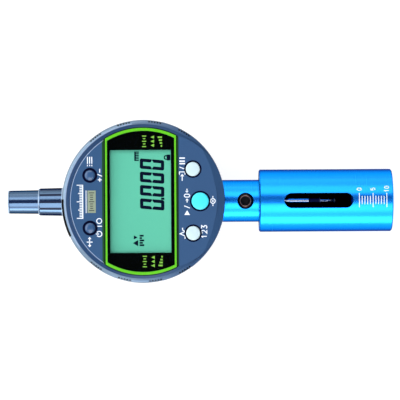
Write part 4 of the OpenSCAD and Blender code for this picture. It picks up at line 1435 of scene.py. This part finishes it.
@dataclass
class Softbox:
    """A studio light: an even panel that faces the object.

    Attributes:
        name: Name of the light.
        toward_deg: Direction that it stands in, 0 along +X and 90 along +Y.
        top_deg: Angle of its upper edge from straight up.
        foot_deg: Angle of its lower edge from straight up.
        spread_deg: Half its width as seen from the object.
        radiance: Brightness of the panel, where 1 is white.
        reach: Distance from the object.
    """

    name: str
    toward_deg: float
    top_deg: float
    foot_deg: float
    spread_deg: float
    radiance: float
    reach: float = 900.0

    def build(self, target: Vector) -> None:
        """Hangs the panel.

        Args:
            target: Point that it faces.
        """
        tilt, way = math.radians((self.top_deg + self.foot_deg) / 2), math.radians(self.toward_deg)
        half = math.radians((self.foot_deg - self.top_deg) / 2)
        offset = Vector((math.sin(tilt) * math.cos(way), math.sin(tilt) * math.sin(way), math.cos(tilt)))
        data = bpy.data.lights.new(self.name, "AREA")
        data.shape = "RECTANGLE"
        data.size = 2 * self.reach * MM * math.tan(math.radians(self.spread_deg))
        data.size_y = 2 * self.reach * MM * math.tan(half)
        data.energy = self.radiance * math.pi * data.size * data.size_y
        lamp = bpy.data.objects.new(self.name, data)
        lamp.location = target + offset * self.reach * MM
        lamp.rotation_euler = (-offset).to_track_quat("-Z", "Y").to_euler()
        lamp.visible_camera = False
        bpy.context.scene.collection.objects.link(lamp)


@dataclass
class Studio:
    """Camera, floor and soft light.

    Attributes:
        camera_x: Camera's place along the spindle.
        camera_y: Camera's place across it.
        camera_z: Its height over the floor.
        roll_deg: Turn of the picture, anticlockwise.
        focal_px: Focal length in pixels of the square frame.
        frame_px: Side of that frame.
        sensor: Width of the sensor.
        floor_half: Half the floor's side.
        floor_drop: How far the floor lies under the back cover.
        paper: Colour of the floor as the light meets it.
        shade: Colour that takes the shadow, where the floor is seen.
        glow: White that the floor adds there.
        ceiling: Colour of the dark ceiling.
        walls: Axis, range of direction and range of value of the rise to the ceiling, of the dimmer
            right side and of the dimmer back.
        softboxes: The studio's lights.
    """

    camera_x: float = 20.54
    camera_y: float = 0.39
    camera_z: float = 770.0
    roll_deg: float = 0.34
    focal_px: float = 2050.0
    frame_px: float = 400.0
    sensor: float = 36.0
    floor_half: float = 4000.0
    floor_drop: float = 0.02
    paper: str = "#e6e6e6"
    shade: str = "#8f8f8f"
    glow: float = 0.86
    ceiling: str = "#4b6596"
    walls: tuple[tuple[str, float, float, float, float], ...] = (
        ("Z", 0.12, 0.5, 0.0, 1.0),
        ("X", -0.2, 0.7, 1.0, 0.35),
        ("Y", 0.3, 0.9, 1.0, 0.5),
    )
    softboxes: tuple[Softbox, ...] = (
        Softbox("softbox_front_high", -90.0, 12.0, 44.0, 16.0, 3.4),
        Softbox("softbox_front_mid", -90.0, 44.0, 65.0, 16.0, 1.7),
        Softbox("softbox_front_low", -90.0, 65.0, 94.0, 18.0, 4.4),
        Softbox("softbox_back_high", 90.0, 23.0, 56.0, 16.0, 2.2),
        Softbox("softbox_back_low", 90.0, 57.0, 88.0, 14.0, 1.3),
        Softbox("softbox_left", 165.0, 22.0, 74.0, 36.0, 2.7),
        Softbox("softbox_slot", 0.0, 3.5, 8.0, 2.5, 1.5),
    )

    def build(self) -> None:
        """Sets up the view, the floor, the lamps and the world."""
        bpy.context.scene.view_settings.view_transform = "Standard"
        self.camera()
        self.floor()
        low, high = CAD_BOX
        for softbox in self.softboxes:
            softbox.build((low + high) / 2)
        self.world()

    def camera(self) -> None:
        """Hangs the camera straight over the object."""
        data = bpy.data.cameras.new("camera")
        data.sensor_width = self.sensor
        data.lens = self.focal_px / self.frame_px * self.sensor
        view = bpy.data.objects.new("camera", data)
        view.location = Vector((self.camera_x, self.camera_y, self.camera_z)) * MM
        view.rotation_euler = (0.0, 0.0, -math.radians(self.roll_deg))
        bpy.context.scene.collection.objects.link(view)
        bpy.context.scene.camera = view

    def floor(self) -> None:
        """Lays a white floor that keeps the object's shadow."""
        side, low = self.floor_half * MM, CAD_BOX[0].z - self.floor_drop * MM
        mesh = bpy.data.meshes.new("floor")
        corners = [(x * side, y * side, low) for x, y in ((-1, -1), (1, -1), (1, 1), (-1, 1))]
        mesh.from_pydata(corners, [], [(0, 1, 2, 3)])
        floor = bpy.data.objects.new("floor", mesh)
        bpy.context.scene.collection.objects.link(floor)
        mesh.materials.append(self.floor_paper())

    def floor_paper(self) -> bpy.types.Material:
        """Makes the floor's paper: white to the eye, plain to the light and clear from below.

        Returns:
            The material.
        """
        material = bpy.data.materials.new("backdrop_paper_white")
        material.use_nodes = True
        tree = material.node_tree
        tree.nodes.clear()
        rays = add_node(tree, "ShaderNodeLightPath").outputs
        seen = rays["Is Camera Ray"]
        for kind in ("Is Glossy Ray", "Is Transmission Ray"):
            links = {0: seen, 1: rays[kind]}
            seen = add_node(tree, "ShaderNodeMath", {"operation": "MAXIMUM"}, links).outputs[0]
        paper, shade = (
            add_node(tree, "ShaderNodeBsdfDiffuse", {"Color": linear(colour)}).outputs[0]
            for colour in (self.paper, self.shade)
        )
        light = {"Color": linear("#ffffff"), "Strength": self.glow}
        glow = add_node(tree, "ShaderNodeEmission", light).outputs[0]
        white = add_node(tree, "ShaderNodeAddShader", None, {0: shade, 1: glow}).outputs[0]
        under = add_node(tree, "ShaderNodeNewGeometry").outputs["Backfacing"]
        clear = add_node(tree, "ShaderNodeBsdfTransparent").outputs[0]
        surface = paper
        for share, over in ((seen, white), (under, clear)):
            links = {0: share, 1: surface, 2: over}
            surface = add_node(tree, "ShaderNodeMixShader", None, links).outputs[0]
        add_node(tree, "ShaderNodeOutputMaterial", None, {"Surface": surface})
        return material

    def world(self) -> None:
        """Fills the room with light from white walls under a dark ceiling."""
        world = bpy.data.worlds.new("studio")
        world.use_nodes = True
        bpy.context.scene.world = world
        tree = world.node_tree
        place = add_node(tree, "ShaderNodeTexCoord").outputs["Generated"]
        toward = add_node(tree, "ShaderNodeSeparateXYZ", None, {0: place}).outputs
        levels, limits = [], ("From Min", "From Max", "To Min", "To Max")
        for axis, *span in self.walls:
            values = dict(zip(limits, span), interpolation_type="SMOOTHSTEP")
            ramp = add_node(tree, "ShaderNodeMapRange", values, {"Value": toward[axis]})
            levels.append(ramp.outputs["Result"])
        rise, side, back = levels
        tint = {"data_type": "RGBA", 6: linear("#ffffff"), 7: linear(self.ceiling)}
        colour = add_node(tree, "ShaderNodeMix", tint, {0: rise})
        level = add_node(tree, "ShaderNodeMath", {"operation": "MULTIPLY"}, {0: side, 1: back})
        background = tree.nodes["Background"].inputs
        tree.links.new(colour.outputs[2], background["Color"])
        tree.links.new(level.outputs[0], background["Strength"])


def main() -> None:
    """Dresses the solids, adds the prints and buttons, and sets up the studio."""
    logging.basicConfig(level=logging.INFO, format="%(message)s")
    Studio().build()
    for finish, nodes in SOLID_FINISHES.items():
        for node in nodes:
            dress(node, finish)
    pale, screw_glint = (EDGE_HIGHLIGHT_ABS, Body.DISPLAY, "bezel_abs"), (SCREW_RIM_HIGHLIGHT, Body.SCREW, "steel_black")
    soft = {"rim": 0.7, "seal_lap": 0.25}
    for assembly in (
        Readout(),
        FacePrints(),
        WindowGasket(),
        GripStrips(),
        CapFlutes(),
        CapRings(),
        PortCover(),
        SleeveScale(),
        # Painted highlights: pale lines on the lit side of the face's edge and of the rim's crest
        Bead(
            "face_edge_painted_highlight", "front_bezel", *pale, inner=26.26, outer=26.49, rise=0.04, depth=0.25,
            crown=0.06, span_deg=(123.0, 237.0), steps=96,
        ),
        Bead(
            "rim_crest_painted_highlight", "front_bezel", *pale, inner=28.24, outer=28.54, rise=-1.07, depth=0.2,
            span_deg=(98.0, 216.0), steps=96,
        ),
        # Painted highlight: a brownish ring on the set screw's socket rim
        Bead(
            "set_screw_painted_highlight", "set_screw", *screw_glint, inner=1.76, outer=2.1, rise=0.05, depth=0.15,
            centre=(37.2, 0.0),
        ),
        PushButton("power_button", Body.POWER, GREY_KEY, "button_grey", **soft),
        PushButton("menu_button", Body.MENU, GREY_KEY, "button_grey", **soft),
        PushButton("hold_button", Body.HOLD, WHITE_KEY, "button_white"),
        PushButton("zero_button", Body.ZERO, CYAN_KEY, "button_cyan"),
        PushButton("preset_button", Body.PRESET, WHITE_KEY, "button_white"),
    ):
        assembly.build()


if __name__ == "__main__":
    main()
